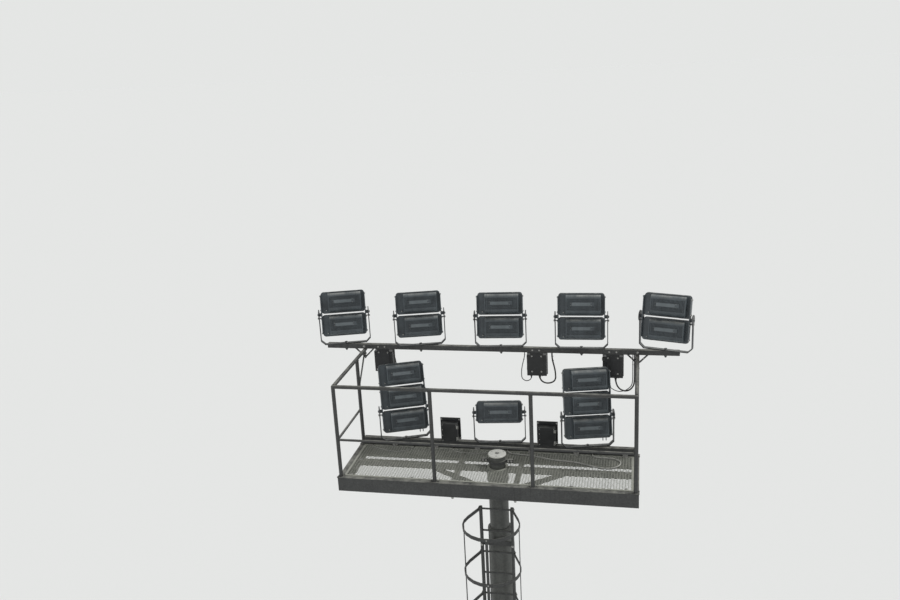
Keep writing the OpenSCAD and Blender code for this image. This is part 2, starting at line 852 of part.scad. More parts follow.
ear_r = 62;
slot_r = 44;
lock_d = 12;
boss_d = 40;
stub_x = 18;
module yoke(i) {
    arm_t = lamp_row(i) == "upper" ? arm_s : sill_t;
    nut_d = 1.7 * pan_bolt_d;
    color("dimgray") {
        at_yoke(i) {
            yoke_foot();
            translate([0, 0, -arm_t - 2 * seat - 1])
                cylinder(h = arm_t + 2 * seat + 2, d = pan_bolt_d);
            translate([0, 0, -arm_t - 2 * seat - 16])
                cylinder(h = 16, d = nut_d, $fn = 6);
            translate([0, 0, -arm_t - 2 * seat - 28])
                cylinder(h = 13, d = pan_bolt_d);
            translate([0, 0, yoke_t - 1])
                cylinder(h = 14, d = nut_d, $fn = 6);
        }
        at_yoke(i)
            translate([0, 0, yoke_h])
                for (side = [-1, 1])
                    translate([side * (yoke_w / 2 - yoke_t / 2), 0, 0])
                        rotate([90, 0, 90])
                            yoke_side(lamp_tilt(i));
    }
}
// The flat bar under the lamp, with its two bends
yoke_cut = 50;
module yoke_foot() {
    inset = 0.6;
    up = yoke_cut + 10;
    out = yoke_w / 2 - inset;
    in = yoke_w / 2 - yoke_t + inset;
    rotate([90, 0, 0])
        linear_extrude(yoke_d, center = true)
            polygon([
                [-out, up], [-out, yoke_cut], [-out + yoke_cut, 0], [out - yoke_cut, 0], [out, yoke_cut],
                [out, up],
                [in, up], [in, yoke_cut + yoke_t / 2], [out - yoke_cut - yoke_t / 2, yoke_t],
                [-out + yoke_cut + yoke_t / 2, yoke_t], [-in, yoke_cut + yoke_t / 2], [-in, up]
            ]);
}
// A side of the yoke and its round ear, with the pivot hole and the lock bolt's slot
module yoke_side(tilt) {
    leg_w = yoke_d + 2;
    linear_extrude(yoke_t, center = true)
        difference() {
            union() {
                circle(r = ear_r);
                translate([-leg_w / 2, yoke_cut - yoke_h])
                    square([leg_w, yoke_h - yoke_cut]);
            }
            circle(d = pivot_d + 2 * seat);
            lock_slot(tilt);
        }
}
// The curved slot that the lock bolt slides in, centred where the bolt sits at rest
module lock_slot(tilt) {
    half = lock_d / 2 + 0.5;
    from = 270 - tilt - tilt_travel - 1;
    to = 270 - tilt + tilt_travel + 1;
    polygon(concat(
        arc(slot_r + half, from, to, 8),
        slot_end(half, to, 0),
        reversed(arc(slot_r - half, from, to, 8)),
        slot_end(half, from, 180)
    ));
}
function slot_end(half, angle, turn) = [
    for (p = arc(half, angle + turn + 30, angle + turn + 150, 4)) p + slot_r * [cos(angle), sin(angle)]
];

// Side view of a module's housing: a flat back between two round shoulders
module housing_profile() {
    half = housing_h / 2;
    translate([-lamp_back, belly_r - half])
        square([lamp_back, housing_h - belly_r - shoulder_r]);
    translate([-lamp_back + shoulder_r, 0])
        square([lamp_back - shoulder_r, half]);
    translate([-lamp_back + belly_r, -half])
        square([lamp_back - belly_r, half]);
    translate([-lamp_back + shoulder_r, half - shoulder_r])
        circle(r = shoulder_r);
    translate([-lamp_back + belly_r, belly_r - half])
        circle(r = belly_r);
}
module rounded_front(w, h, r) {
    square([w - 2 * r, h], center = true);
    square([w, h - 2 * r], center = true);
    for (x = [-1, 1])
        for (z = [-1, 1])
            translate([x * (w / 2 - r), z * (h / 2 - r)])
                circle(r = r);
}
// The finned housing: fins in a recess, and a bare raised panel across them
fin_low = belly_r - housing_h / 2;
fin_high = housing_h / 2 - shoulder_r;
panel_w = 250;
module housing() {
    rim = 12;
    floor_y = -lamp_back + fin_depth;
    pitch = (housing_w - 2 * rim - fin_t) / (fin_n + 1);
    difference() {
        rotate([90, 0, 90])
            linear_extrude(housing_w, center = true)
                housing_profile();
        translate([rim - housing_w / 2, -lamp_back - 1, fin_low + 2])
            cube([housing_w - 2 * rim, fin_depth + 1, fin_high - fin_low - 4]);
    }
    for (k = [1:fin_n])
        translate([rim - housing_w / 2 + k * pitch, floor_y - fin_depth + 1, fin_low + 1])
            cube([fin_t, fin_depth, fin_high - fin_low - 2]);
    translate([-panel_w / 2, -lamp_back - 2, fin_low + 50])
        cube([panel_w, fin_depth + 3, 46]);
}
pocket_d = 12;
glass_t = 5;
frame_w = 14;
rim_t = 14;
module lamp_module() {
    step = 4;
    translate([housing_shift, 0, 0])
        housing();
    difference() {
        union() {
            translate([0, lamp_front, 0])
                rotate([90, 0, 0])
                    linear_extrude(rim_t)
                        rounded_front(lamp_w, module_h, corner_r);
            translate([0, lamp_front - 1, 0])
                rotate([90, 0, 0])
                    linear_extrude(lamp_front + frame_back - 1)
                        rounded_front(lamp_w - 2 * step, module_h - 2 * step, corner_r - step);
        }
        translate([0, lamp_front + 1, 0])
            rotate([90, 0, 0])
                linear_extrude(pocket_d + 1)
                    rounded_front(lamp_w - 2 * frame_w, module_h - 2 * frame_w, corner_r - frame_w / 2);
    }
}
function module_z(i, k) = (k + 0.5 - lamp_below(i)) * module_pitch;

side_t = 6;
module lamp(i) {
    n = lamp_modules(i);
    low = -lamp_below(i) * module_pitch + (module_pitch - module_h) / 2 + corner_r;
    high = (n - lamp_below(i)) * module_pitch - (module_pitch - module_h) / 2 - corner_r;
    inner = yoke_w / 2 - yoke_t - seat;
    color("slategray")
        at_lamp(i) {
            for (k = [0:n - 1])
                translate([0, 0, module_z(i, k)])
                    lamp_module();
            for (x = n == 3 ? [-stub_x, stub_x] : [])
                translate([housing_w / 2 + housing_shift - 41 + x, -25, module_z(i, 0) - housing_h / 2 - 40])
                    cylinder(h = 42, d = 10);
            for (side = [-1, 1])
                mirror([side < 0 ? 1 : 0, 0, 0]) {
                    translate([lamp_w / 2 - 5, -40, low])
                        cube([side_t + 5, 70, high - low]);
                    rotate([0, 90, 0]) {
                        translate([0, 0, lamp_w / 2])
                            cylinder(h = inner - lamp_w / 2, d = boss_d);
                        translate([0, 0, inner - 1])
                            cylinder(h = yoke_t + 2 * seat + 13, d = pivot_d);
                        translate([0, 0, yoke_w / 2 + seat])
                            cylinder(h = 10, d = 1.8 * pivot_d, $fn = 6);
                        translate([slot_r, 0, lamp_w / 2])
                            cylinder(h = yoke_w / 2 - lamp_w / 2 + 12, d = lock_d);
                    }
                }
        }
}
module glass(i) {
    play = 1;
    color("azure", 0.5)
        at_lamp(i)
            for (k = [0:lamp_modules(i) - 1])
                translate([0, lamp_front - pocket_d + glass_t, module_z(i, k)])
                    rotate([90, 0, 0])
                        linear_extrude(glass_t)
                            rounded_front(
                                lamp_w - 2 * frame_w - 2 * play, module_h - 2 * frame_w - 2 * play,
                                corner_r - frame_w / 2 - play
                            );
}

base_plate();
column_lower();
column_middle();
column_upper();
cable_door();
neck_collar();
head_tube();
spigot_cap();
ladder_lower();
ladder_middle();
ladder_upper();
ladder_brackets();
cage_lower();
cage_middle();
cage_upper();
main_beam();
knee_braces();
floor_frame();
floor_mesh();
spigot_saddle();
near_guardrail();
side_guardrails();
upper_arm();
lower_arm();
upper_gear_boxes();
lower_gear_boxes();
loop_cable();
loop_lead();
rail_cable();
rail_lead();
side_lead();
floor_cable();
floor_lead();
corner_lead();
for (i = [0:len(LAMPS) - 1]) {
    yoke(i);
    lamp(i);
    glass(i);
}
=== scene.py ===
import bpy
import bmesh
import json
import math
import numpy as np
from mathutils import Matrix, Vector


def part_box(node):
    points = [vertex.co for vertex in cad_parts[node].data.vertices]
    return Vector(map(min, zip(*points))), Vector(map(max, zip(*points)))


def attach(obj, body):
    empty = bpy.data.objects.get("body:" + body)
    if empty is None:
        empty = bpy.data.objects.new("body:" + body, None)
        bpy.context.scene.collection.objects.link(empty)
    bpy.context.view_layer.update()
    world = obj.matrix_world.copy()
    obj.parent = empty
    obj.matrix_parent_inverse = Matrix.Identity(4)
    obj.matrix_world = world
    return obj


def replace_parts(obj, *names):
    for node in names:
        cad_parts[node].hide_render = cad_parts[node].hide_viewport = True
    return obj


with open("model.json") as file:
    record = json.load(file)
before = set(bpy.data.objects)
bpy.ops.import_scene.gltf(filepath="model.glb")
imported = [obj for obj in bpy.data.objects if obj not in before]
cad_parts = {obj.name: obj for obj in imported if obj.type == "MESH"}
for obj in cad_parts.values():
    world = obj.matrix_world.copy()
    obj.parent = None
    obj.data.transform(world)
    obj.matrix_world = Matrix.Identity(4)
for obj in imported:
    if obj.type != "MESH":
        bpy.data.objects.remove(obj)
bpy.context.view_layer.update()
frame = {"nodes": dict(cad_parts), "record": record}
scene = bpy.context.scene
print("frame loaded,", len(frame["nodes"]), "solids")

# where the main parts stand, in metres, as the frame has them
mast = {
    "middle": -0.089, "width": 3.225, "depth": 0.85, "floor": 25.7, "rail": 26.78, "midRail": 26.15,
    "flange": 0.04, "neck": 24.92, "baseRadius": 0.3, "topRadius": 0.1325, "tubeRadius": 0.1095, "joints": (9.0, 17.5),
    "armY": 0.757, "armZ": 26.8293, "armTop": 26.8573, "armUnder": 26.801, "armLength": 4.14, "armSize": 0.056,
    "sillTop": 25.792, "sillFace": 0.3947, "joists": (-0.434, 0.256), "seat": 0.0003,
}
sideLeft = mast["middle"] - mast["width"] / 2
sideRight = mast["middle"] + mast["width"] / 2
nearY = -mast["depth"] / 2
farY = mast["depth"] / 2

# the photograph's viewpoint
shot = {"place": (1.544, -8.767, 30.328), "turn": (73.382, 2.939, 11.902), "lens": 35.05, "sensor": 36, "far": 3000}


def placeCamera():
    data = bpy.data.cameras.new("camera")
    data.lens = shot["lens"]
    data.sensor_width = shot["sensor"]
    data.clip_end = shot["far"]
    camera = bpy.data.objects.new("camera", data)
    camera.location = shot["place"]
    camera.rotation_euler = [math.radians(a) for a in shot["turn"]]
    scene.collection.objects.link(camera)
    scene.camera = camera


placeCamera()
print("camera placed")


# small helpers for nodes
def addNode(tree, kind, **values):
    node = tree.nodes.new(kind)
    for key, value in values.items():
        setattr(node, key, value)
    return node


def feed(tree, socket, value):
    # a number or a colour is set on the socket, anything else is linked to it
    if isinstance(value, (int, float)):
        socket.default_value = value
    elif isinstance(value, tuple):
        socket.default_value = (*value, 1)
    else:
        tree.links.new(value, socket)


def mathNode(tree, how, a, b, clamp=False):
    node = addNode(tree, "ShaderNodeMath", operation=how, use_clamp=clamp)
    feed(tree, node.inputs[0], a)
    feed(tree, node.inputs[1], b)
    return node.outputs[0]


def times(tree, a, b, clamp=False):
    return mathNode(tree, "MULTIPLY", a, b, clamp)


def plus(tree, a, b, clamp=False):
    return mathNode(tree, "ADD", a, b, clamp)


def rampNode(tree, value, low, high, first=0.0, last=1.0):
    node = addNode(tree, "ShaderNodeMapRange", clamp=True)
    for label, number in (("From Min", low), ("From Max", high), ("To Min", first), ("To Max", last)):
        node.inputs[label].default_value = number
    feed(tree, node.inputs["Value"], value)
    return node.outputs["Result"]


def mixColor(tree, factor, a, b):
    node = addNode(tree, "ShaderNodeMix", data_type="RGBA")
    for k, value in ((0, factor), (6, a), (7, b)):
        feed(tree, node.inputs[k], value)
    return node.outputs[2]


def noiseNode(tree, vector, scale, detail=3, rough=0.5, stretch=None):
    if stretch:
        mapping = addNode(tree, "ShaderNodeMapping")
        mapping.inputs["Scale"].default_value = stretch
        feed(tree, mapping.inputs["Vector"], vector)
        vector = mapping.outputs[0]
    node = addNode(tree, "ShaderNodeTexNoise")
    for label, number in (("Scale", scale), ("Detail", detail), ("Roughness", rough)):
        node.inputs[label].default_value = number
    feed(tree, node.inputs["Vector"], vector)
    return node.outputs["Fac"]


def newGroup(name, inputs, outputs):
    tree = bpy.data.node_groups.new(name, "ShaderNodeTree")
    for label, kind, value in [("Vector", "Vector", None)] + inputs:
        socket = tree.interface.new_socket(label, in_out="INPUT", socket_type="NodeSocket" + kind)
        if value is not None:
            socket.default_value = value
    for label, kind in outputs:
        tree.interface.new_socket(label, in_out="OUTPUT", socket_type="NodeSocket" + kind)
    return tree, addNode(tree, "NodeGroupInput"), addNode(tree, "NodeGroupOutput")


skinOutputs = [("Color", "Color"), ("Roughness", "Float"), ("Height", "Float")]


# shared effects
def zincSkinGroup():
    # crystals of hot-dip zinc under a matt weathered skin
    tree, start, end = newGroup("zincSkin", [
        ("Light", "Color", (0.5, 0.51, 0.5, 1)), ("Dark", "Color", (0.3, 0.31, 0.31, 1)),
        ("Spangle", "Float", 0.35), ("Mottle", "Float", 0.6)], skinOutputs)
    vector = start.outputs["Vector"]
    crystals = addNode(tree, "ShaderNodeTexVoronoi")
    crystals.inputs["Scale"].default_value = 70
    feed(tree, crystals.inputs["Vector"], vector)
    toGrey = addNode(tree, "ShaderNodeRGBToBW")
    feed(tree, toGrey.inputs[0], crystals.outputs["Color"])
    grey = toGrey.outputs[0]
    broad = rampNode(tree, noiseNode(tree, vector, 2.2, 5, 0.6), 0.35, 0.68)
    fine = rampNode(tree, noiseNode(tree, vector, 19, 4, 0.65), 0.3, 0.7)
    mottle = times(tree, plus(tree, broad, fine), start.outputs["Mottle"])
    share = plus(tree, times(tree, grey, start.outputs["Spangle"]), times(tree, mottle, 0.5), clamp=True)
    feed(tree, end.inputs["Color"], mixColor(tree, share, start.outputs["Dark"], start.outputs["Light"]))
    rough = plus(tree, times(tree, fine, 0.16), times(tree, grey, -0.1))
    feed(tree, end.inputs["Roughness"], plus(tree, rough, 0.5))
    feed(tree, end.inputs["Height"], plus(tree, fine, times(tree, grey, 0.4)))
    return tree


def coatGrainGroup():
    # the fine pebbled skin of powder coat, with a chalky fade
    tree, start, end = newGroup("coatGrain", [
        ("Fresh", "Color", (0.05, 0.06, 0.065, 1)), ("Faded", "Color", (0.1, 0.11, 0.12, 1)),
        ("Fade", "Float", 0.5)], skinOutputs)
    vector = start.outputs["Vector"]
    cloud = rampNode(tree, noiseNode(tree, vector, 6, 5, 0.6), 0.32, 0.7)
    share = times(tree, cloud, start.outputs["Fade"], clamp=True)
    feed(tree, end.inputs["Color"], mixColor(tree, share, start.outputs["Fresh"], start.outputs["Faded"]))
    feed(tree, end.inputs["Roughness"], plus(tree, times(tree, cloud, 0.16), 0.36))
    feed(tree, end.inputs["Height"], noiseNode(tree, vector, 420, 2, 0.5))
    return tree


def rainStreaks(tree, vector):
    # dark runs that rain has drawn down the steel
    return (rampNode(tree, noiseNode(tree, vector, 1, 3, 0.5, (46, 46, 0.7)), 0.5, 0.75),
            rampNode(tree, noiseNode(tree, vector, 1, 2, 0.5, (3, 3, 0.45)), 0.4, 0.65))


def dustAndLitTops(tree, vector):
    # pale dust and droppings on what faces the sky, with painted highlight: the tops are painted lighter as if lit from
    # above
    facing = addNode(tree, "ShaderNodeNewGeometry")
    parts = addNode(tree, "ShaderNodeSeparateXYZ")
    feed(tree, parts.inputs[0], facing.outputs["Normal"])
    return (rampNode(tree, parts.outputs["Z"], 0.45, 0.98),
            rampNode(tree, noiseNode(tree, vector, 11, 4, 0.65), 0.3, 0.62))


def rustBloom(tree, vector):
    # small brown blooms where the zinc is broken
    return (rampNode(tree, noiseNode(tree, vector, 34, 5, 0.7), 0.62, 0.74),
            rampNode(tree, noiseNode(tree, vector, 1.7, 2, 0.5), 0.52, 0.7))


def maskGroup(name, amount, pattern):
    # the two patterns of an effect, multiplied into one mask
    tree, start, end = newGroup(name, [("Amount", "Float", amount)], [("Mask", "Float")])
    first, second = pattern(tree, start.outputs["Vector"])
    mask = times(tree, times(tree, first, second), start.outputs["Amount"], clamp=True)
    feed(tree, end.inputs["Mask"], mask)
    return tree


effects = {
    "zincSkin": zincSkinGroup(), "coatGrain": coatGrainGroup(),
    "rainStreaks": maskGroup("rainStreaks", 0.5, rainStreaks),
    "dustAndLitTops": maskGroup("dustAndLitTops", 0.5, dustAndLitTops),
    "rustBloom": maskGroup("rustBloom", 0.3, rustBloom),
}


def placeEffect(tree, name, vector, **values):
    node = addNode(tree, "ShaderNodeGroup", node_tree=effects[name])
    feed(tree, node.inputs["Vector"], vector)
    for key, value in values.items():
        feed(tree, node.inputs[key], value)
    return node


def startMaterial(name):
    material = bpy.data.materials.new(name)
    material.use_nodes = True
    tree = material.node_tree
    place = addNode(tree, "ShaderNodeTexCoord")
    return material, tree, tree.nodes["Principled BSDF"], place.outputs["Object"]


def addBump(tree, shader, height, strength, distance):
    bump = addNode(tree, "ShaderNodeBump")
    bump.inputs["Strength"].default_value = strength
    bump.inputs["Distance"].default_value = distance
    feed(tree, bump.inputs["Height"], height)
    feed(tree, shader.inputs["Normal"], bump.outputs[0])


def weather(tree, shader, vector, skin, layers, dusty):
    # lays the effects over the skin in their order; the pale tops, dust with painted highlight, also dull it
    color = skin.outputs["Color"]
    for name, amount, tone in layers:
        mask = placeEffect(tree, name, vector, Amount=amount).outputs[0]
        color = mixColor(tree, mask, color, tone)
        if name == "dustAndLitTops":
            dull = times(tree, mask, dusty)
    feed(tree, shader.inputs["Base Color"], color)
    feed(tree, shader.inputs["Roughness"], plus(tree, skin.outputs["Roughness"], dull, clamp=True))


# finishes
def zincFinish(name, light, dark, metallic=0.55, spangle=0.35, streaks=0.5, dustAndTopLight=0.5, rust=0.15, bump=0.25):
    material, tree, shader, vector = startMaterial(name)
    skin = placeEffect(tree, "zincSkin", vector, Light=light, Dark=dark, Spangle=spangle)
    weather(tree, shader, vector, skin, [
        ("rainStreaks", streaks, tuple(c * 0.42 for c in dark)), ("rustBloom", rust, (0.16, 0.065, 0.025)),
        # the pale tone of the tops: dust and painted highlight
        ("dustAndLitTops", dustAndTopLight, (0.42, 0.42, 0.37))], 0.3)
    shader.inputs["Metallic"].default_value = metallic
    addBump(tree, shader, skin.outputs["Height"], bump, 0.0006)
    return material


def coatFinish(name, fresh, faded, fade=0.6, dustAndTopLight=0.4, rust=0.0, bump=0.2):
    material, tree, shader, vector = startMaterial(name)
    grain = placeEffect(tree, "coatGrain", vector, Fresh=fresh, Faded=faded, Fade=fade)
    # the pale tone of the tops: dust and painted highlight
    layers = [("rainStreaks", 0.45, tuple(c * 0.5 for c in fresh)), ("dustAndLitTops", dustAndTopLight, (0.34, 0.35, 0.33))]
    if rust:
        layers.append(("rustBloom", rust, (0.15, 0.06, 0.025)))
    weather(tree, shader, vector, grain, layers, 0.35)
    addBump(tree, shader, grain.outputs["Height"], bump, 0.0003)
    return material


def boltFinish():
    material, tree, shader, vector = startMaterial("stainlessBolt")
    worn = rampNode(tree, noiseNode(tree, vector, 160, 3, 0.6), 0.3, 0.7)
    feed(tree, shader.inputs["Base Color"], mixColor(tree, worn, (0.3, 0.3, 0.29), (0.52, 0.52, 0.5)))
    feed(tree, shader.inputs["Roughness"], plus(tree, times(tree, worn, 0.2), 0.3))
    shader.inputs["Metallic"].default_value = 0.9
    return material


def rubberFinish(name, clean, scuffed, dustAndTopLight, dustAndLightTone=(0.2, 0.2, 0.18)):
    material, tree, shader, vector = startMaterial(name)
    scuff = rampNode(tree, noiseNode(tree, vector, 55, 4, 0.6), 0.4, 0.75)
    # the tops take the pale tone: dust and painted highlight
    dustAndLightMask = placeEffect(tree, "dustAndLitTops", vector, Amount=dustAndTopLight)
    color = mixColor(tree, scuff, clean, scuffed)
    feed(tree, shader.inputs["Base Color"], mixColor(tree, dustAndLightMask.outputs[0], color, dustAndLightTone))
    feed(tree, shader.inputs["Roughness"], plus(tree, times(tree, scuff, 0.25), 0.45))
    addBump(tree, shader, noiseNode(tree, vector, 300, 2, 0.5), 0.15, 0.0003)
    return material


def glassFinish():
    material, tree, shader, vector = startMaterial("coverGlass")
    shader.inputs["Base Color"].default_value = (0.93, 0.96, 0.97, 1)
    shader.inputs["Transmission Weight"].default_value = 1
    shader.inputs["IOR"].default_value = 1.45
    film = rampNode(tree, noiseNode(tree, vector, 24, 4, 0.6), 0.45, 0.8)
    feed(tree, shader.inputs["Roughness"], plus(tree, times(tree, film, 0.12), 0.02))
    return material


def plainFinish(name, scale, detail, low, high, roughness, coat=0.0):
    # two close tones that drift into each other
    material, tree, shader, vector = startMaterial(name)
    tone = noiseNode(tree, vector, scale, detail, 0.5)
    feed(tree, shader.inputs["Base Color"], mixColor(tree, tone, low, high))
    shader.inputs["Roughness"].default_value = roughness
    shader.inputs["Coat Weight"].default_value = coat
    return material


# painted shade: the ladder and basket zinc is coloured near black for the shade on their backlit sides; bare zinc is a
# paler grey
shadeDarkZinc = {"light": (0.085, 0.088, 0.086), "dark": (0.035, 0.036, 0.037), "metallic": 0.35, "rust": 0.2}
finishes = {
    # painted shade: the column's zinc is darkened for its backlit side
    "column": zincFinish("columnZinc", (0.14, 0.146, 0.137), (0.068, 0.071, 0.068), metallic=0.4, streaks=0.6,
                         dustAndTopLight=0.3),
    "ladder": zincFinish("ladderZinc", streaks=0.3, dustAndTopLight=0.3, **shadeDarkZinc),
    "basket": zincFinish("basketZinc", streaks=0.4, dustAndTopLight=0.5, **shadeDarkZinc),
    "meshFloor": zincFinish("meshZinc", (0.44, 0.45, 0.39), (0.24, 0.25, 0.22), metallic=0.3, streaks=0.0, dustAndTopLight=0.5,
                            rust=0.3, bump=0.15),
    # painted highlight: the cap is coloured pale for the light on its top face
    "cap": coatFinish("capPaleLit", (0.62, 0.62, 0.58), (0.76, 0.76, 0.7), dustAndTopLight=0.5, rust=0.3),
    "gear": coatFinish("gearCoat", (0.012, 0.013, 0.014), (0.035, 0.037, 0.04), dustAndTopLight=0.25),
    "yoke": coatFinish("yokeCoat", (0.03, 0.032, 0.035), (0.075, 0.08, 0.085), dustAndTopLight=0.55, rust=0.2),
    "lamp": coatFinish("lampCoat", (0.045, 0.055, 0.062), (0.12, 0.145, 0.16), dustAndTopLight=0.65),
    "plate": coatFinish("plateMetal", (0.1, 0.12, 0.128), (0.19, 0.215, 0.23), dustAndTopLight=0.2, bump=0.1),
    "rubber": rubberFinish("cableSheath", (0.012, 0.012, 0.012), (0.04, 0.04, 0.038), 0.25),
    # the floor cables' sheath is painted pale grey, a painted highlight for the light on them, with dust settled on
    # top; the same cable hangs black above
    "floorSheath": rubberFinish("glareAndDustSheath", (0.16, 0.165, 0.155), (0.3, 0.3, 0.275), 0.9, (0.52, 0.52, 0.47)),
    "bolt": boltFinish(), "glass": glassFinish(),
    "board": plainFinish("reflectorBoard", 40, 3, (0.78, 0.79, 0.79), (0.88, 0.88, 0.87), 0.35),
    "lens": plainFinish("lensAcrylic", 60, 2, (0.72, 0.72, 0.66), (0.82, 0.8, 0.66), 0.08, coat=1.0),
}
slotFinish = {
    "column_steel": "column", "ladder_steel": "ladder", "basket_steel": "basket", "cap": "cap", "gear_box": "gear",
    "yoke_bar": "yoke", "lamp_housing": "lamp", "lamp_glass": "glass", "cable": "rubber",
}


def dressSolids():
    for part in frame["record"]["subparts"]:
        solid = frame["nodes"][part["node"]]
        finish = finishes[slotFinish[part["material_slot"]]]
        if solid.material_slots:
            for spot in solid.material_slots:
                spot.material = finish
        else:
            solid.data.materials.append(finish)


dressSolids()
print("solids dressed")


# places and turns
upward, forward, backward = (0, 0, 1), (0, 1, 0), (0, -1, 0)


def shift(x, y, z):
    return Matrix.Translation((x, y, z))


def spin(angle, axis):
    return Matrix.Rotation(math.radians(angle), 4, axis)


def turnTo(direction, place=(0, 0, 0)):
    # a place whose own Z looks along direction
    return Matrix.Translation(place) @ Vector(direction).normalized().to_track_quat("Z", "Y").to_matrix().to_4x4()


def around(count):
    return [2 * math.pi * k / count for k in range(count)]


# building pieces
def addPiece(name, data, body, finish, smooth=False):
    piece = bpy.data.objects.new(name, data)
    scene.collection.objects.link(piece)
    data.materials.append(finishes[finish])
    if smooth:
        data.polygons.foreach_set("use_smooth", [True] * len(data.polygons))
    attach(piece, body)
    return piece


def joined(name, shapes, body, finish, smooth=False):
    # shapes, each with its place, in one mesh
    allPoints, allFaces, count = [], [], 0
    for (points, faces), place in shapes:
        m = np.array(place)
        allPoints.append(points @ m[:3, :3].T + m[:3, 3])
        allFaces.extend([[i + count for i in f] for f in faces])
        count += len(points)
    data = bpy.data.meshes.new(name)
    data.from_pydata(np.concatenate(allPoints).tolist(), [], allFaces)
    data.validate()
    return addPiece(name, data, body, finish, smooth)


def scatter(name, shape, places, body, finish, smooth=False):
    # one shape at many places
    return joined(name, [(shape, place) for place in places], body, finish, smooth)


def spread(shape, aim, xs, ys, zs, base=Matrix()):
    # the shape at every mix of these places, its own Z along aim
    return [(shape, base @ turnTo(aim, (x, y, z))) for x in xs for y in ys for z in zs]


def twins(shape, x, ys, zs, base):
    # the shape to the left and to the right, looking outward
    return spread(shape, (-1, 0, 0), [-x], ys, zs, base) + spread(shape, (1, 0, 0), [x], ys, zs, base)


def shapeOf(build):
    mesh = bmesh.new()
    build(mesh)
    mesh.verts.index_update()
    points = np.array([v.co[:] for v in mesh.verts])
    faces = [[v.index for v in f.verts] for f in mesh.faces]
    mesh.free()
    return points, faces


def skinOf(rows, closed=True, loop=False, caps=False, tip=None):
    # faces between neighbouring rows of points; loop joins the last row to the first, tip ends them in a point
    def build(mesh):
        made = [[mesh.verts.new(p) for p in row] for row in rows]
        wide = len(made[0])
        for a, b in zip(made, made[1:] + made[:1] if loop else made[1:]):
            for k in range(wide if closed else wide - 1):
                mesh.faces.new((a[k], b[k], b[(k + 1) % wide], a[(k + 1) % wide]))
        if caps:
            mesh.faces.new(made[0])
            mesh.faces.new(made[-1][::-1])
        if tip:
            end = mesh.verts.new(tip)
            for k in range(wide):
                mesh.faces.new((made[-1][k], end, made[-1][(k + 1) % wide]))
        bmesh.ops.recalc_face_normals(mesh, faces=mesh.faces[:])
    return shapeOf(build)


def barShape(x, y, z, bevel=0.0):
    def build(mesh):
        bmesh.ops.create_cube(mesh, size=1, matrix=Matrix.Diagonal((x, y, z, 1)))
        if bevel:
            bmesh.ops.bevel(mesh, geom=mesh.edges[:], offset=bevel, segments=1, affect="EDGES")
    return shapeOf(build)


def addCone(mesh, sides, low, high, start, height):
    bmesh.ops.create_cone(mesh, cap_ends=True, segments=sides, radius1=low, radius2=high, depth=height,
                          matrix=shift(0, 0, start + height / 2))


def rodShape(radius, height, sides=12, top=None, bevel=0.0):
    def build(mesh):
        addCone(mesh, sides, radius, radius if top is None else top, 0, height)
        if bevel:
            rim = [e for e in mesh.edges if all(abs(v.co.z - height) < 1e-6 for v in e.verts)]
            bmesh.ops.bevel(mesh, geom=rim, offset=bevel, segments=1, affect="EDGES")
    return shapeOf(build)


def boltShape(across, height, washer=1.0):
    # hexagon head with a chamfer, standing on a washer, along +Z
    thin, corner = height * 0.18, across * 0.577

    def build(mesh):
        addCone(mesh, 14, across * 0.78 * washer, across * 0.78 * washer, 0, thin)
        addCone(mesh, 6, corner, corner, thin, height * 0.62)
        addCone(mesh, 6, corner, across * 0.44, thin + height * 0.62, height * 0.2)
    return shapeOf(build)


def screwShape(radius, height):
    # pan head with a recess for the driver
    def build(mesh):
        addCone(mesh, 12, radius, radius * 0.78, 0, height)
        top = [f for f in mesh.faces if f.normal.z > 0.9 and f.calc_center_median().z > height * 0.9]
        bmesh.ops.inset_region(mesh, faces=top, thickness=radius * 0.38)
        for f in top:
            for v in f.verts:
                v.co.z -= height * 0.4
    return shapeOf(build)


def ringWeld(radius, bead, count=44, sides=5):
    # a fillet of weld that runs round a joint, with the ripple of its passes
    rings = []
    for i, a in enumerate(around(count)):
        thick = bead * (1 + 0.16 * (i % 2) - 0.05 * math.sin(3 * a))
        rings.append([((radius + thick * math.cos(b)) * math.cos(a), (radius + thick * math.cos(b)) * math.sin(a),
                       thick * math.sin(b)) for b in around(sides)])
    return skinOf(rings, loop=True)


def lineWeld(length, bead, step=0.009, sides=5):
    # a straight bead along X
    count = max(3, int(length / step))
    rings = []
    for i in range(count + 1):
        thick = bead * (1 + 0.18 * (i % 2)) * (0.55 if i in (0, count) else 1)
        rings.append([(length * (i / count - 0.5), thick * math.cos(b), thick * math.sin(b)) for b in around(sides)])
    return skinOf(rings, caps=True)


def roundedOutline(w, h, r, steps=6):
    points = []
    for cx, cz, start in ((w / 2 - r, h / 2 - r, 0), (-w / 2 + r, h / 2 - r, 90), (-w / 2 + r, -h / 2 + r, 180),
                          (w / 2 - r, -h / 2 + r, 270)):
        for k in range(steps + 1):
            a = math.radians(start + 90 * k / steps)
            points.append((cx + r * math.cos(a), cz + r * math.sin(a)))
    return points


def roundedPlate(w, h, r, y0, y1, bevel=0.0):
    # a plate that stands in the XZ plane, from y0 to y1, its edge broken on the y1 side
    outline = roundedOutline(w, h, r)
    rows = [[(x, y, z) for x, z in outline] for y in (y0, y1 - (bevel if y1 > y0 else -bevel))]
    if bevel:
        rows.append([(x, y1, z) for x, z in roundedOutline(w - 2 * bevel, h - 2 * bevel, max(r - bevel, 0.001))])
    return skinOf(rows, caps=True)


def roundedFrame(w, h, r, wide, y0, y1):
    outer = roundedOutline(w, h, r)
    inner = roundedOutline(w - 2 * wide, h - 2 * wide, max(r - wide, 0.001))
    lines = ((outer, y0), (outer, y1), (inner, y1), (inner, y0))
    return skinOf([[(x, y, z) for x, z in line] for line, y in lines], loop=True)


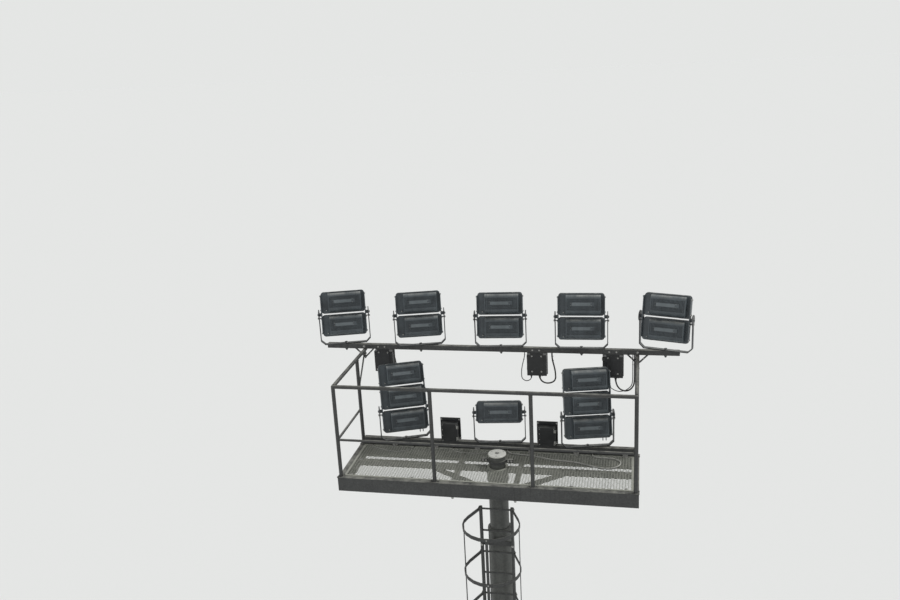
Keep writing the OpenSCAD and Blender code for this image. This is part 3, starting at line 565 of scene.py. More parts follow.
# cables: each route in millimetres, down from its gland in the box and up to its hole in the arm
cables = {
    "loop_cable": {"box": 1, "gland": 0.03, "across": 0.018, "end": "box",
        "down": [(0, 0, 0), (0, 0, -14), (6, 0, -38), (24, 0, -64), (54, 0, -82), (90, 0, -88), (126, 0, -82),
                 (158, 0, -66), (178, 0, -40), (184, 0, -14)],
        "up": [(214, 69, -305), (212, 63, -262), (206, 53, -216), (198, 40, -168), (190, 25, -120), (185, 10, -75),
               (184, 0, -34), (184, 0, 0)]},
    "loop_lead": {"box": 1, "gland": -0.07, "across": 0.01, "end": "box",
        "down": [(0, 0, 0), (0, 0, -10), (-4, 0, -30), (-14, 0, -48), (-32, 0, -60), (-54, 0, -66), (-74, 0, -64),
                 (-94, 0, -52), (-108, 0, -36), (-114, 0, -18)],
        "up": [(-185, 70, -330), (-185, 67, -290), (-181, 60, -245), (-173, 48, -200), (-162, 34, -155),
               (-150, 19, -110), (-139, 6, -66), (-134, 0, -28), (-134, 0, 0)]},
    "rail_cable": {"box": 2, "gland": 0.03, "across": 0.018, "end": "rail",
        "down": [(0, 0, 0), (0, 0, -14), (4, 0, -48), (16, 0, -88), (38, 0, -122), (66, 0, -144), (100, -2, -154),
                 (132, -6, -150), (164, -12, -132), (188, -16, -104), (206, -18, -66)],
        "up": [(-33, 50, -345), (-31, 45, -300), (-31, 38, -250), (-31, 31, -200), (-31, 25, -150), (-31, 20, -100),
               (-31, 17, -50), (-31, 17, 0)]},
    "rail_lead": {"box": 2, "gland": -0.07, "across": 0.01, "end": "rail",
        "down": [(0, 0, 0), (0, 0, -12), (4, 2, -46), (16, 8, -84), (38, 14, -120), (66, 18, -146), (102, 18, -164),
                 (138, 18, -172), (176, 18, -168), (214, 16, -154), (244, 12, -130), (270, 4, -100), (286, -4, -62)],
        "up": [(-54, 68, -345), (-52, 59, -300), (-52, 49, -250), (-52, 39, -200), (-52, 29, -150), (-52, 21, -100),
               (-52, 17, -50), (-52, 17, 0)]},
    "side_lead": {"box": 0, "gland": 0.06, "across": 0.01, "end": "box",
        "down": [(0, 0, 0), (0, 0, -10), (4, 0, -26), (14, 0, -42), (32, 0, -50), (50, 0, -52), (68, 0, -44),
                 (80, 0, -30), (86, 0, -14)],
        "up": [(146, 72, -310), (147, 69, -272), (147, 62, -232), (146, 53, -190), (143, 42, -146), (139, 29, -104),
               (135, 15, -64), (132, 5, -28), (132, 5, 0)]},
}
floorRuns = {
    # x from the middle of the basket and y from the near face of the lower arm, in millimetres
    "floor_cable": {"across": 0.018, "route": [
        (149, 0), (149, -12), (160, -54), (191, -86), (234, -100), (279, -107), (329, -112), (389, -117), (453, -124),
        (509, -138), (569, -160), (639, -185), (729, -205), (829, -217), (929, -231), (1019, -258), (1099, -292),
        (1179, -327), (1249, -344), (1319, -341), (1379, -315), (1423, -270), (1442, -218), (1435, -166), (1401, -124),
        (1351, -101), (1279, -93), (1199, -92), (1159, -81), (1130, -52), (1119, -12), (1119, 0)]},
    "floor_lead": {"across": 0.01, "route": [
        (-501, 0), (-501, -16), (-495, -42), (-479, -70), (-453, -92), (-417, -108), (-373, -118), (-321, -125),
        (-261, -129), (-201, -128), (-145, -120), (-95, -104), (-53, -82), (-23, -54), (-9, -24), (-9, 0)]},
    "corner_lead": {"across": 0.01, "route": [
        (-971, 0), (-971, -16), (-975, -44), (-989, -78), (-1013, -112), (-1047, -142), (-1091, -164), (-1143, -174),
        (-1201, -170), (-1259, -156), (-1315, -137), (-1369, -118), (-1419, -98), (-1457, -72), (-1479, -38),
        (-1483, -14), (-1483, 0)]},
}
gearBoxes = {"upperX": (-1.396, 0.461, 1.337), "lowerX": (-0.533, 0.606), "low": 26.4853, "lidY": 0.879,
             "glandY": 0.829, "glandLow": 26.475}
upperBoxX = [mast["middle"] + x for x in gearBoxes["upperX"]]
lowerBoxX = [mast["middle"] + x for x in gearBoxes["lowerX"]]
meshTop = 0.0063  # where the floor cables lie, over the floor's level


def cableRoutes():
    for name, cable in cables.items():
        boxX = upperBoxX[cable["box"]]
        start = Vector((boxX + cable["gland"], gearBoxes["glandY"], gearBoxes["glandLow"]))
        end = Vector((sideRight if cable["end"] == "rail" else boxX, mast["armY"], mast["armUnder"] - mast["seat"]))
        line = [start + Vector(p) / 1000 for p in cable["down"]] + [end + Vector(p) / 1000 for p in cable["up"]]
        yield name, line, cable, "rubber", "hanging"
    for name, run in floorRuns.items():
        high = mast["floor"] + meshTop + run["across"] / 2
        line = [Vector((mast["middle"] + x / 1000, mast["sillFace"] + y / 1000, high)) for x, y in run["route"]]
        yield name, line, run, "floorSheath", "loose"


def curveThrough(points, steps):
    # a smooth line through all the points
    made = []
    last = len(points) - 1
    for i in range(last):
        a, b, c, d = points[max(i - 1, 0)], points[i], points[i + 1], points[min(i + 2, last)]
        for k in range(steps):
            t = k / steps
            made.append(0.5 * (2 * b + (c - a) * t + (2 * a - 5 * b + 4 * c - d) * t * t
                               + (3 * b - a - 3 * c + d) * t ** 3))
    made.append(points[last])
    return made


def hangCables():
    for name, line, cable, finish, lay in cableRoutes():
        data = bpy.data.curves.new(name, "CURVE")
        data.dimensions = "3D"
        data.bevel_depth = cable["across"] / 2
        data.bevel_resolution = 3
        data.use_fill_caps = True
        spline = data.splines.new("POLY")
        smooth = curveThrough(line, 5)
        spline.points.add(len(smooth) - 1)
        for point, place in zip(spline.points, smooth):
            point.co = (*place, 1)
        piece = addPiece("cable_" + name, data, "mast", finish)
        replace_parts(piece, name)
        cable["line"] = smooth


hangCables()
print("cables hung")


# column
def columnRadius(z):
    return mast["baseRadius"] + (mast["topRadius"] - mast["baseRadius"]) * z / mast["neck"]


def columnSkin(z):
    # the radius that shows: each upper length slips over the one below it
    low, high = mast["joints"]
    lip = 0.006
    for a, b, grow in ((mast["flange"], low, 0), (low, high, lip), (high, mast["neck"], lip)):
        if z <= b:
            return columnRadius(z) + grow * (b - z) / (b - a)
    return mast["topRadius"]


def buildColumnWelds():
    column = {"seamTurn": math.radians(205), "seamFrom": 0.245, "seamBead": 0.005, "footBead": 0.007,
              "headBead": 0.004, "sleeveTop": 0.037, "gussets": 12, "gussetHalf": 0.008, "gussetBead": 0.0045}
    low, high = mast["joints"]
    neck = mast["neck"]
    shapes = []
    for a, b in ((column["seamFrom"], low - 0.012), (low + 0.002, high - 0.012), (high + 0.002, neck - 0.006)):
        ends = [Vector((columnSkin(z) * math.cos(column["seamTurn"]), columnSkin(z) * math.sin(column["seamTurn"]), z))
                for z in (a + 0.0001, b)]
        along = ends[1] - ends[0]
        place = Matrix.Translation((ends[0] + ends[1]) / 2) @ along.to_track_quat("X", "Z").to_matrix().to_4x4()
        shapes.append((lineWeld(along.length, column["seamBead"], step=0.014), place))
    shapes += [(ringWeld(columnRadius(mast["flange"]) + 0.002, column["footBead"], 120), shift(0, 0, 0.042)),
               (ringWeld(mast["topRadius"] + 0.003, column["headBead"], 90), shift(0, 0, neck)),
               (ringWeld(mast["tubeRadius"] + 0.004, column["headBead"], 80), shift(0, 0, neck + column["sleeveTop"]))]
    upright = lineWeld(0.2, column["gussetBead"])
    flat = lineWeld(0.15, column["gussetBead"])
    for k in range(column["gussets"]):
        for side in (-1, 1):
            y = side * column["gussetHalf"]
            turn = spin(360 / column["gussets"] * k, "Z")
            shapes.append((upright, turn @ shift(columnRadius(0.14) + 0.003, y, 0.142) @ spin(-90, "Y")))
            shapes.append((flat, turn @ shift(0.377, y, 0.042)))
    joined("columnWelds", shapes, "mast", "column", smooth=True)


def buildSlipJointNuts():
    jack = {"across": 0.03, "high": 0.022, "turns": (60, 180, 300), "steps": (-0.06, 0.07), "sunk": 0.002}
    nuts = []
    for z in mast["joints"]:
        for a in [math.radians(turn) for turn in jack["turns"]]:
            for dz in jack["steps"]:
                r = columnSkin(z + dz) - jack["sunk"]
                nuts.append(turnTo((math.cos(a), math.sin(a), 0), (r * math.cos(a), r * math.sin(a), z + dz)))
    scatter("slipJointNuts", boltShape(jack["across"], jack["high"], 0.7), nuts, "mast", "column")


def buildCableDoor():
    door = {"half": 0.095, "high": 0.64, "middle": 0.88, "hinges": (0.66, 1.06), "locks": (0.63, 1.13),
            "lockAim": (1, 0.12, 0), "earth": 0.42, "gap": 0.0005, "lip": 0.006}
    face = columnRadius(door["middle"]) + 0.008
    bits = []
    for z in door["hinges"]:
        bits.append((rodShape(0.008, 0.07, 14, bevel=0.001), shift(face - 0.026, -door["half"] - 0.006, z - 0.035)))
        bits.append((barShape(0.004, 0.05, 0.055, 0.001),
                     shift(face - 0.012, -door["half"] + 0.022, z) @ spin(-15, "Z")))
    bits += spread(rodShape(0.014, 0.006, 20, bevel=0.0015), door["lockAim"], [face - 0.008], [0.066], door["locks"])
    bits += spread(rodShape(0.0055, 0.004, 3), door["lockAim"], [face - 0.002], [0.0668], door["locks"])
    out = columnRadius(door["earth"])  # the lug for the earth wire
    bits.append((boltShape(0.019, 0.016), turnTo((1, 0, 0), (out - 0.001, 0, door["earth"]))))
    bits.append((barShape(0.006, 0.04, 0.06, 0.001), shift(out + 0.001, 0, door["earth"])))
    joined("doorHardware", bits, "mast", "bolt")

    rows = []
    for y, dz in roundedOutline(2 * door["half"] + 0.006, door["high"] + 0.006, 0.012, 3):
        r = columnRadius(door["middle"] + dz)
        x = math.sqrt(max(r * r - y * y, 0))
        out = Vector((x, y, 0)).normalized()
        row = [(x + out.x * g, y + out.y * g, door["middle"] + dz) for g in (door["gap"], door["lip"])]
        z, within = door["middle"] + dz * 0.985, y * 0.95
        r = columnRadius(z) + door["lip"]
        rows.append(row + [(math.sqrt(r * r - within * within), within, z)])
    gasket = skinOf(rows, closed=False, loop=True)
    joined("doorGasket", [(gasket, Matrix())], "mast", "rubber")


buildColumnWelds()
buildSlipJointNuts()
buildCableDoor()
print("column worked")


# ladder and cage
def buildLadderWork():
    ladder = {"foot": -0.37, "lean": 0.1675, "stile": 0.175, "stileWide": 0.03, "stileDeep": 0.05, "topRung": 25.2766,
              "pitch": 0.272, "rungs": 92, "hoops": 43, "hoopRadius": 0.305, "hoopThick": 0.008, "hoopOffset": 0.345,
              "strapDeep": 0.0047, "splits": (30, 60), "brackets": 12, "bracketPitch": 2.176, "sunk": 0.0005}
    place = shift(0, ladder["foot"], 0) @ Matrix.Rotation(-math.atan(ladder["lean"] / mast["neck"]), 4, "X")
    outer = ladder["stile"] + ladder["stileWide"] / 2
    inner = ladder["stile"] - ladder["stileWide"] / 2
    rungZ = [ladder["topRung"] - k * ladder["pitch"] for k in range(ladder["rungs"])]
    hoopZ = rungZ[:2 * ladder["hoops"]:2]
    cheeks = twins(boltShape(0.013, 0.009), outer + ladder["hoopThick"] - ladder["sunk"], (-0.014, 0.01), hoopZ, place)
    joined("hoopBolts", cheeks, "mast", "bolt")

    rivet, strap = rodShape(0.009, 0.0035, 12, 0.0055), []
    outside = ladder["hoopRadius"] + ladder["hoopThick"] - ladder["sunk"]
    inside = ladder["hoopRadius"] - ladder["strapDeep"]
    for x, y in ((-1, 0), (0, -1), (1, 0)):
        shown = hoopZ if x else hoopZ[:-1]  # the lowest hoop's front rivet is flush outside
        for way, reach, heads in ((-1, inside, hoopZ), (1, outside, shown)):
            strap += spread(rivet, (way * x, way * y, 0), [x * reach], [y * reach - ladder["hoopOffset"]], heads, place)
    joined("strapRivets", strap, "mast", "bolt")

    welds = twins(ringWeld(0.0115, 0.0028, 14, 4), inner, [0], rungZ, place)
    joined("rungWelds", welds, "mast", "ladder", smooth=True)
    plugs = twins(rodShape(0.0125, 0.0025, 12, 0.009), outer - 0.0003, [0], rungZ[1::2], place)
    joined("rungPlugs", plugs, "mast", "ladder")

    spliceZ = [rungZ[k - 1] - ladder["pitch"] / 2 for k in ladder["splits"]]
    boltZ = [z + dz for z in spliceZ for dz in (-0.075, -0.032, 0.032, 0.075)]
    splice = twins(boltShape(0.017, 0.011), outer + 0.006, [0], boltZ, place)
    splice += [(barShape(0.006, 0.042, 0.19, 0.0015), place @ shift(x, 0, z))
               for x in (-outer - 0.003, outer + 0.003) for z in spliceZ]
    joined("stileSplices", splice, "mast", "ladder")

    stiles = (-ladder["stile"], ladder["stile"])
    bracketZ = [mast["neck"] - 0.09 - k * ladder["bracketPitch"] for k in range(ladder["brackets"])]
    clamp = boltShape(0.019, 0.012)
    clamps = spread(clamp, backward, stiles, [ladder["sunk"] - ladder["stileDeep"] / 2], bracketZ, place)
    clamps += spread(clamp, forward, stiles, [0.0345], bracketZ, place)
    joined("bracketBolts", clamps, "mast", "bolt")
    beads = [place @ shift(x, 0.037, z) @ spin(90, "Y") for x in (-0.056, 0.056) for z in bracketZ]
    scatter("bracketWelds", lineWeld(0.058, 0.004), beads, "mast", "ladder", smooth=True)
    feet = [place @ shift(x, 0, rungZ[-1] - 0.126) for x in stiles]
    scatter("stileCaps", barShape(0.036, 0.056, 0.012, 0.003), feet, "mast", "rubber")


buildLadderWork()
print("ladder worked")


# basket
def buildFloorMesh():
    # expanded steel: zigzag strands that meet at their knuckles
    weave = {"long": 0.0605, "short": 0.026, "strand": 0.006, "thick": 0.0022, "lean": 0.0016, "sway": 0.42,
             "hole": 0.1145, "edge": 0.006, "lift": 0.0012}
    low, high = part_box("floor_mesh")
    x0, x1 = low[0] + weave["edge"], high[0] - weave["edge"]
    y0, y1 = low[1] + weave["edge"], high[1] - weave["edge"]
    z0 = low[2] + weave["lift"]
    columns = int((x1 - x0) / (weave["long"] / 2))
    rows = int((y1 - y0) / (weave["short"] / 2))
    stepX, stepY = (x1 - x0) / columns, (y1 - y0) / rows
    half = weave["strand"] / 2
    points, faces = [], []
    for j in range(rows):
        first = len(points)
        for i in range(columns + 1):
            up = 1 if (i + j) % 2 else -1
            x, y = x0 + i * stepX, y0 + (j + 0.5 + up * weave["sway"]) * stepY
            for dy, dz in ((-half, 0), (half, 0), (half, weave["thick"]), (-half, weave["thick"])):
                points.append((x, y + dy, z0 + dz + weave["lean"] * (up + 1)))
        for i in range(columns):
            if math.hypot(x0 + (i + 0.5) * stepX, y0 + (j + 0.5) * stepY) < weave["hole"]:
                continue
            a, b = first + 4 * i, first + 4 * i + 4
            faces.extend([(a + k, a + (k + 1) % 4, b + (k + 1) % 4, b + k) for k in range(4)])
    data = bpy.data.meshes.new("expandedFloor")
    data.from_pydata(points, [], faces)
    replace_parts(addPiece("expandedFloor", data, "mast", "meshFloor"), "floor_mesh")

    rim = {"wide": 0.02, "thick": 0.0059, "collar": ((0.0935, 0), (0.0935, 0.0055), (0.118, 0.0055), (0.118, 0))}
    cx, cy, z = (low[0] + high[0]) / 2, (low[1] + high[1]) / 2, low[2] + 0.003
    half = rim["wide"] / 2
    edge = [(barShape(high[0] - low[0], rim["wide"], rim["thick"], 0.001), shift(cx, y, z))
            for y in (low[1] + half, high[1] - half)]
    edge += [(barShape(rim["wide"], high[1] - low[1] - 0.04, rim["thick"], 0.001), shift(x, cy, z))
             for x in (low[0] + half, high[0] - half)]
    rings = [[(r * math.cos(a), r * math.sin(a), low[2] + 0.0003 + dz) for a in around(48)] for r, dz in rim["collar"]]
    edge.append((skinOf(rings, loop=True), Matrix()))
    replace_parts(joined("floorEdge", edge, "mast", "meshFloor"), "floor_mesh")

    clips = {"x": (-1.6, -0.9, *mast["joists"], 0.85, 1.42), "inset": 0.035, "clear": 0.14}
    holds = [shift(x, y, low[2] + 0.0042) for x in clips["x"]
             for y in (low[1] + clips["inset"], cy, high[1] - clips["inset"]) if math.hypot(x, y) > clips["clear"]]
    scatter("floorClips", boltShape(0.013, 0.006, 1.6), holds, "mast", "bolt")


def buildPostFeet(posts):
    foot = {"thick": 0.006, "middle": (0.1, 0.074), "corner": (0.078, 0.078), "bead": 0.0032, "postRadius": 0.022}
    plates = []
    for x, y in posts:
        corner = abs(x - mast["middle"]) > 1
        w, d = foot["corner" if corner else "middle"]
        plates.append((barShape(w, d, foot["thick"], 0.0015),
                       shift(x - math.copysign(0.002, x) * corner, y, mast["floor"] + foot["thick"] / 2)))
        for way in (-1, 1):
            dx = way * (0.03 if corner else 0.037)
            dy = -way * 0.029 * (1 if y > 0 else -1) if corner else 0
            plates.append((boltShape(0.013, 0.009), shift(x + dx, y + dy, mast["floor"] + foot["thick"])))
        plates.append((ringWeld(foot["postRadius"], foot["bead"], 28), shift(x, y, mast["floor"] + 0.0065)))
    joined("postFeet", plates, "mast", "basket")


def buildBasketWelds(posts):
    weld = {"post": ringWeld(0.0222, 0.0032, 30), "middle": ringWeld(0.0147, 0.0026, 24), "out": 0.0195, "under": 0.019,
            "sleeve": ringWeld(mast["tubeRadius"] + 0.0125, 0.0045, 70), "brace": lineWeld(0.05, 0.0045)}
    middle, out, midZ = weld["middle"], weld["out"], [mast["midRail"]]
    beads = [(weld["post"], shift(x, y, mast["rail"] - weld["under"])) for x, y in posts[1:3] + posts[4:]]
    # the middle rail meets the inner posts from both sides and the corners from inside
    meets = [x + dx for x, y in posts[1:3] for dx in (-out, out)] + [sideLeft + out, sideRight - out]
    beads += spread(middle, (1, 0, 0), meets, [nearY], midZ)
    beads += spread(middle, forward, (sideLeft, sideRight), (nearY + out, farY - out), midZ)
    beads.append((weld["sleeve"], shift(0, 0, mast["floor"] - 0.0595)))
    tubeX = mast["tubeRadius"] + 0.001
    beads += [(weld["brace"], shift(side * x, 0, mast["floor"] - down) @ spin(90, "Z"))
              for side in (-1, 1) for x, down in ((tubeX, 0.33), (tubeX, 0.272), (0.69, 0.061), (0.755, 0.061))]
    joined("basketWelds", beads, "mast", "basket", smooth=True)


def buildBasketBolts():
    small, medium, large = boltShape(0.013, 0.009), boltShape(0.017, 0.012), boltShape(0.019, 0.013)
    cleats = {"x": (-1.3, -0.8, -0.3, 0.33, 0.85, 1.4), "foot": barShape(0.06, 0.034, 0.005, 0.001),
              "back": barShape(0.06, 0.005, 0.04, 0.001)}
    armY, floor, rails = mast["armY"], mast["floor"], (sideLeft, sideRight)
    struts = [x + dx for x in rails for dx in (-0.068, 0.068)]
    bolts = []
    for way in (-1, 1):
        for bolt, xs, y, z in ((medium, (-0.16, -0.125, 0.125, 0.16), way * 0.0148, floor + 0.079),
                               (large, rails, armY + way * 0.0278, mast["armZ"]),
                               (boltShape(0.017, 0.01), rails, armY + way * 0.0138, mast["rail"] - 0.05),
                               (small, struts, armY + way * 0.0048, mast["rail"] - 0.028)):
            bolts += spread(bolt, (0, way, 0), xs, [y], [z])
    # angles that hold the mesh to the lower arm
    for shape, aim, y, z in ((cleats["foot"], upward, 0.376, 0.0092), (cleats["back"], upward, 0.3922, 0.027),
                             (small, upward, 0.372, 0.0115), (small, backward, 0.3897, 0.033)):
        bolts += spread(shape, aim, cleats["x"], [y], [floor + z])
    # the joists', under both long channels
    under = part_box("floor_frame")[0][2] + mast["seat"]
    bolts += spread(boltShape(0.026, 0.024), (0, 0, -1), mast["joists"], (nearY - 0.018, farY + 0.018), [under])
    joined("basketBolts", bolts, "mast", "bolt")


def buildCaps():
    caps = []
    for side in (-1, 1):
        x = mast["middle"] + side * mast["armLength"] / 2
        caps.append((barShape(0.004, 0.0555, 0.0555, 0.0015), shift(x + side * 0.002, mast["armY"], mast["armZ"])))
        caps.append((barShape(0.003, 0.03, 0.03, 0.001), shift(x + side * 0.0045, mast["armY"], mast["armZ"])))
    joined("armEndCaps", caps, "mast", "rubber")

    lid = {"screws": (30, 150, 270), "ring": 0.077, "top": mast["floor"] + 0.1655}
    screw = screwShape(0.008, 0.004)
    screws = [(screw, spin(angle, "Z") @ shift(lid["ring"], 0, lid["top"] + 0.0003) @ spin(-angle, "Z"))
              for angle in lid["screws"]]
    screws.append((boltShape(0.024, 0.011, 1.3), shift(0, 0, lid["top"])))
    joined("capScrews", screws, "mast", "bolt")


guardPosts = [(mast["middle"] + t * mast["width"], nearY) for t in (-0.5, -1 / 6, 1 / 6, 0.5)]
guardPosts += [(sideLeft, farY), (sideRight, farY)]
buildFloorMesh()
buildPostFeet(guardPosts)
buildBasketWelds(guardPosts)
buildBasketBolts()
buildCaps()
print("basket worked")


# gear boxes
def buildGearBoxWork():
    gear = {"screw": 0.0065, "inset": 0.014, "midScrew": 0.035, "hinge": 0.07, "vents": 5, "ventPitch": 0.03,
            "upper": (0.24, 0.0, 0.27), "lower": (0.196, 0.002, 0.224), "lowerLid": 0.38}
    boxes = [(shift(x, gearBoxes["lidY"], gearBoxes["low"]), *gear["upper"]) for x in upperBoxX]
    boxes += [(shift(x, gear["lowerLid"], mast["sillTop"]) @ spin(180, "Z"), *gear["lower"]) for x in lowerBoxX]
    screw = screwShape(gear["screw"], 0.003)
    vent = barShape(0.004, 0.046, 0.006, 0.001)
    hardware, trim = [], []
    for place, wide, low, high in boxes:
        # the lid faces local +Y, which is y = 0 here
        edge, middle = wide / 2, (low + high) / 2
        x, inset, near = edge - gear["inset"], gear["inset"], gear["midScrew"]
        hardware += spread(screw, forward, (-x, x), [0], (low + inset, high - inset), place)
        hardware += spread(screw, forward, [x], [0], (middle - near, middle + near), place)
        for z in (middle - gear["hinge"], middle + gear["hinge"]):
            hardware.append((rodShape(0.0055, 0.04, 12, bevel=0.0008), place @ shift(-edge - 0.0025, -0.006, z - 0.02)))
            hardware.append((barShape(0.02, 0.003, 0.036, 0.0008), place @ shift(-edge + 0.008, 0.0013, z)))
        center = place @ shift(0, 0, middle)
        trim.append((roundedFrame(wide - 0.05, high - low - 0.048, 0.012, 0.006, -0.0005, 0.0022), center))
        trim.append((roundedFrame(wide - 0.004, high - low - 0.004, 0.006, 0.003, -0.0165, -0.0135), center))
        trim += [(vent, place @ shift(side * (edge - 0.0045), -0.046, middle - 0.06 + gear["ventPitch"] * k))
                 for k in range(gear["vents"]) for side in (-1, 1)]
    joined("gearHardware", hardware, "mast", "bolt")
    joined("gearTrim", trim, "mast", "gear")

    bolts = []
    for boxX, half, y, zs in ((lowerBoxX, 0.108, 0.4582, [mast["sillTop"] + dz for dz in (0.02, 0.25)]),
                              (upperBoxX, 0.055, 0.7853, [gearBoxes["low"] + dz for dz in (0.06, 0.25)]),
                              (upperBoxX, 0.04, 0.7293, [mast["armZ"]])):
        bolts += spread(boltShape(0.013, 0.009), backward, [x + dx for x in boxX for dx in (-half, half)], [y], zs)
    joined("gearPlateBolts", bolts, "mast", "bolt")


def buildGlandNuts():
    # each cable leaves its box through a ribbed dome nut that tapers on to the sheath
    gland = {"profile": ((0.0058, 0.006), (0.0062, -0.004), (0.0045, -0.0095), (0.002, -0.0135), (0.0016, -0.024),
                         (0.0008, -0.03)), "ribs": 20, "rib": 0.05, "ribbedAbove": -0.005}
    nuts = []
    for cable in cables.values():
        rings = []
        for grow, z in gland["profile"]:
            r = cable["across"] / 2 + grow
            rib = 1 + (gland["rib"] if z > gland["ribbedAbove"] else 0)
            rings.append([(r * (rib if k % 2 else 1) * math.cos(a), r * (rib if k % 2 else 1) * math.sin(a), z)
                          for k, a in enumerate(around(gland["ribs"]))])
        nuts.append((skinOf(rings, caps=True), Matrix.Translation(cable["line"][0])))
    joined("glandNuts", nuts, "mast", "rubber")


def buildGrommets():
    # rubber rings where the floor cables pass through the lower arm
    rings = []
    for run in floorRuns.values():
        r = run["across"] / 2
        for end in (run["line"][0], run["line"][-1]):
            place = turnTo((0, -1, 0), end)
            rings += [(ringWeld(r + 0.0045, 0.0032, 26, 8), place), (rodShape(r + 0.004, 0.03, 20, r + 0.0012), place)]
    joined("cableGrommets", rings, "mast", "rubber")


def buildCableTies():
    # narrow bands, every 26 points on the floor and two near each hole in the arm
    tie = {"every": 26, "first": 18, "last": 12, "back": (7, 14), "block": barShape(0.006, 0.005, 0.0045, 0.0008)}
    bands = []
    for run in floorRuns.values():
        line, r = run["line"], run["across"] / 2
        for k in range(tie["first"], len(line) - tie["last"], tie["every"]):
            bands.append((ringWeld(r + 0.0006, 0.0012, 18, 4), turnTo(line[k + 1] - line[k - 1], line[k])))
            bands.append((tie["block"], Matrix.Translation(line[k] + Vector((0, 0, r + 0.003)))))
    joined("floorTies", bands, "mast", "rubber")
    bands = []
    for cable in cables.values():
        line, r = cable["line"], cable["across"] / 2
        for back in tie["back"]:
            place = turnTo(line[-back] - line[-2 - back], line[-1 - back])
            bands.append((ringWeld(r + 0.0008, 0.0013, 18, 4), place))
            bands.append((tie["block"], place @ shift(r + 0.0035, 0, 0)))
    joined("cableTies", bands, "mast", "rubber")


buildGearBoxWork()
buildGlandNuts()
buildGrommets()
buildCableTies()
print("gear boxes fitted")

# lamps: row, x, pan, tilt, modules, how many hang below the pivot
lampRows = [
    ("upper", -1.843, 17, 15, 2, 1), ("upper", -0.912, 15, 14, 2, 1), ("upper", 0.053, 5, 13, 2, 1),
    ("upper", 0.984, 2, 12, 2, 1), ("upper", 1.92, -16, 13, 2, 1), ("lower", -1.075, 22, 16, 3, 1),
    ("lower", 0.058, 7, 16, 1, 0.5), ("lower", 1.067, 13, 11, 3, 1),
]
lampShape = {"pitch": 0.275, "back": -0.085, "housingHigh": 0.224, "housingShift": 0.024, "yokeHigh": 0.38,
             "lockDrop": 0.044}


def yokePlace(i):
    row, x, pan = lampRows[i][:3]
    y, z = (mast["armY"], mast["armTop"]) if row == "upper" else (farY, mast["sillTop"])
    return shift(mast["middle"] + x, y, z + mast["seat"]) @ spin(pan, "Z")


def lampPlace(i):
    return yokePlace(i) @ shift(0, 0, lampShape["yokeHigh"]) @ spin(-lampRows[i][3], "X")


def lensDome(radius, height):
    # a low bowl lens with a flat foot, looking along +Y
    rings = [[(radius * r * math.cos(a), height * y, radius * r * math.sin(a)) for a in around(12)]
             for r, y in ((1.0, 0), (0.97, 0.3), (0.8, 0.72), (0.5, 0.94))]
    return skinOf(rings, tip=(0, height, 0))


def ribShapes():
    # one rib over the top shoulder of a module's housing, and one under its belly
    top, back = lampShape["housingHigh"] / 2, lampShape["back"]
    shapes = []
    for radius, inset, cz, first in ((0.038, 0.0385, top - 0.038, 90), (0.05, 0.0505, -top + 0.05, 180)):
        rows = []
        for k in range(7):
            a = math.radians(first + 15 * k)
            out = (math.cos(a), math.sin(a))
            rise = 0.0022 * math.sin(math.pi * (0.12 + 0.76 * k / 6))
            rows.append([(x, back + inset + out[0] * (radius + g), cz + out[1] * (radius + g))
                         for x, g in ((-0.002, -0.001), (-0.0013, rise), (0.0013, rise), (0.002, -0.001))])
        shapes.append(skinOf(rows, closed=False, caps=True))
    return shapes


def buildLampFront(name, body, modules):
    # LED boards with their lenses, under a clear pane
    array = {"boardX": 0.1215, "boardZ": 0.056, "across": 8, "down": 4, "lensX": 0.101, "lensZ": 0.0387,
             "stepX": 0.02886, "stepZ": 0.0258}
    tray = roundedPlate(0.488, 0.228, 0.024, 0.0283, 0.0292)
    board = roundedPlate(0.236, 0.106, 0.004, 0.0291, 0.0302, 0.0005)
    lensX = [array["stepX"] * k - array["lensX"] for k in range(array["across"])]
    lensZ = [array["stepZ"] * k - array["lensZ"] for k in range(array["down"])]
    middles = [shift(x, 0, z) for x in (-array["boardX"], array["boardX"]) for z in (-array["boardZ"], array["boardZ"])]
    boards, lenses = [], []
    for m in modules:
        boards += [(tray, m)] + [(board, m @ middle) for middle in middles]
        lenses += [m @ middle @ shift(x, 0.0301, z) for middle in middles for x in lensX for z in lensZ]
    joined("ledBoards" + name, boards, body, "board")
    scatter("ledLenses" + name, lensDome(0.0118, 0.0042), lenses, body, "lens", smooth=True)
    pane = scatter("coverPane" + name, roundedPlate(0.49, 0.23, 0.026, 0.0362, 0.0385, 0.0008), modules, body, "glass")
    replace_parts(pane, "glass" + name)
    scatter("paneGasket" + name, roundedFrame(0.4918, 0.2318, 0.0265, 0.004, 0.0350, 0.0396), modules, body, "rubber")


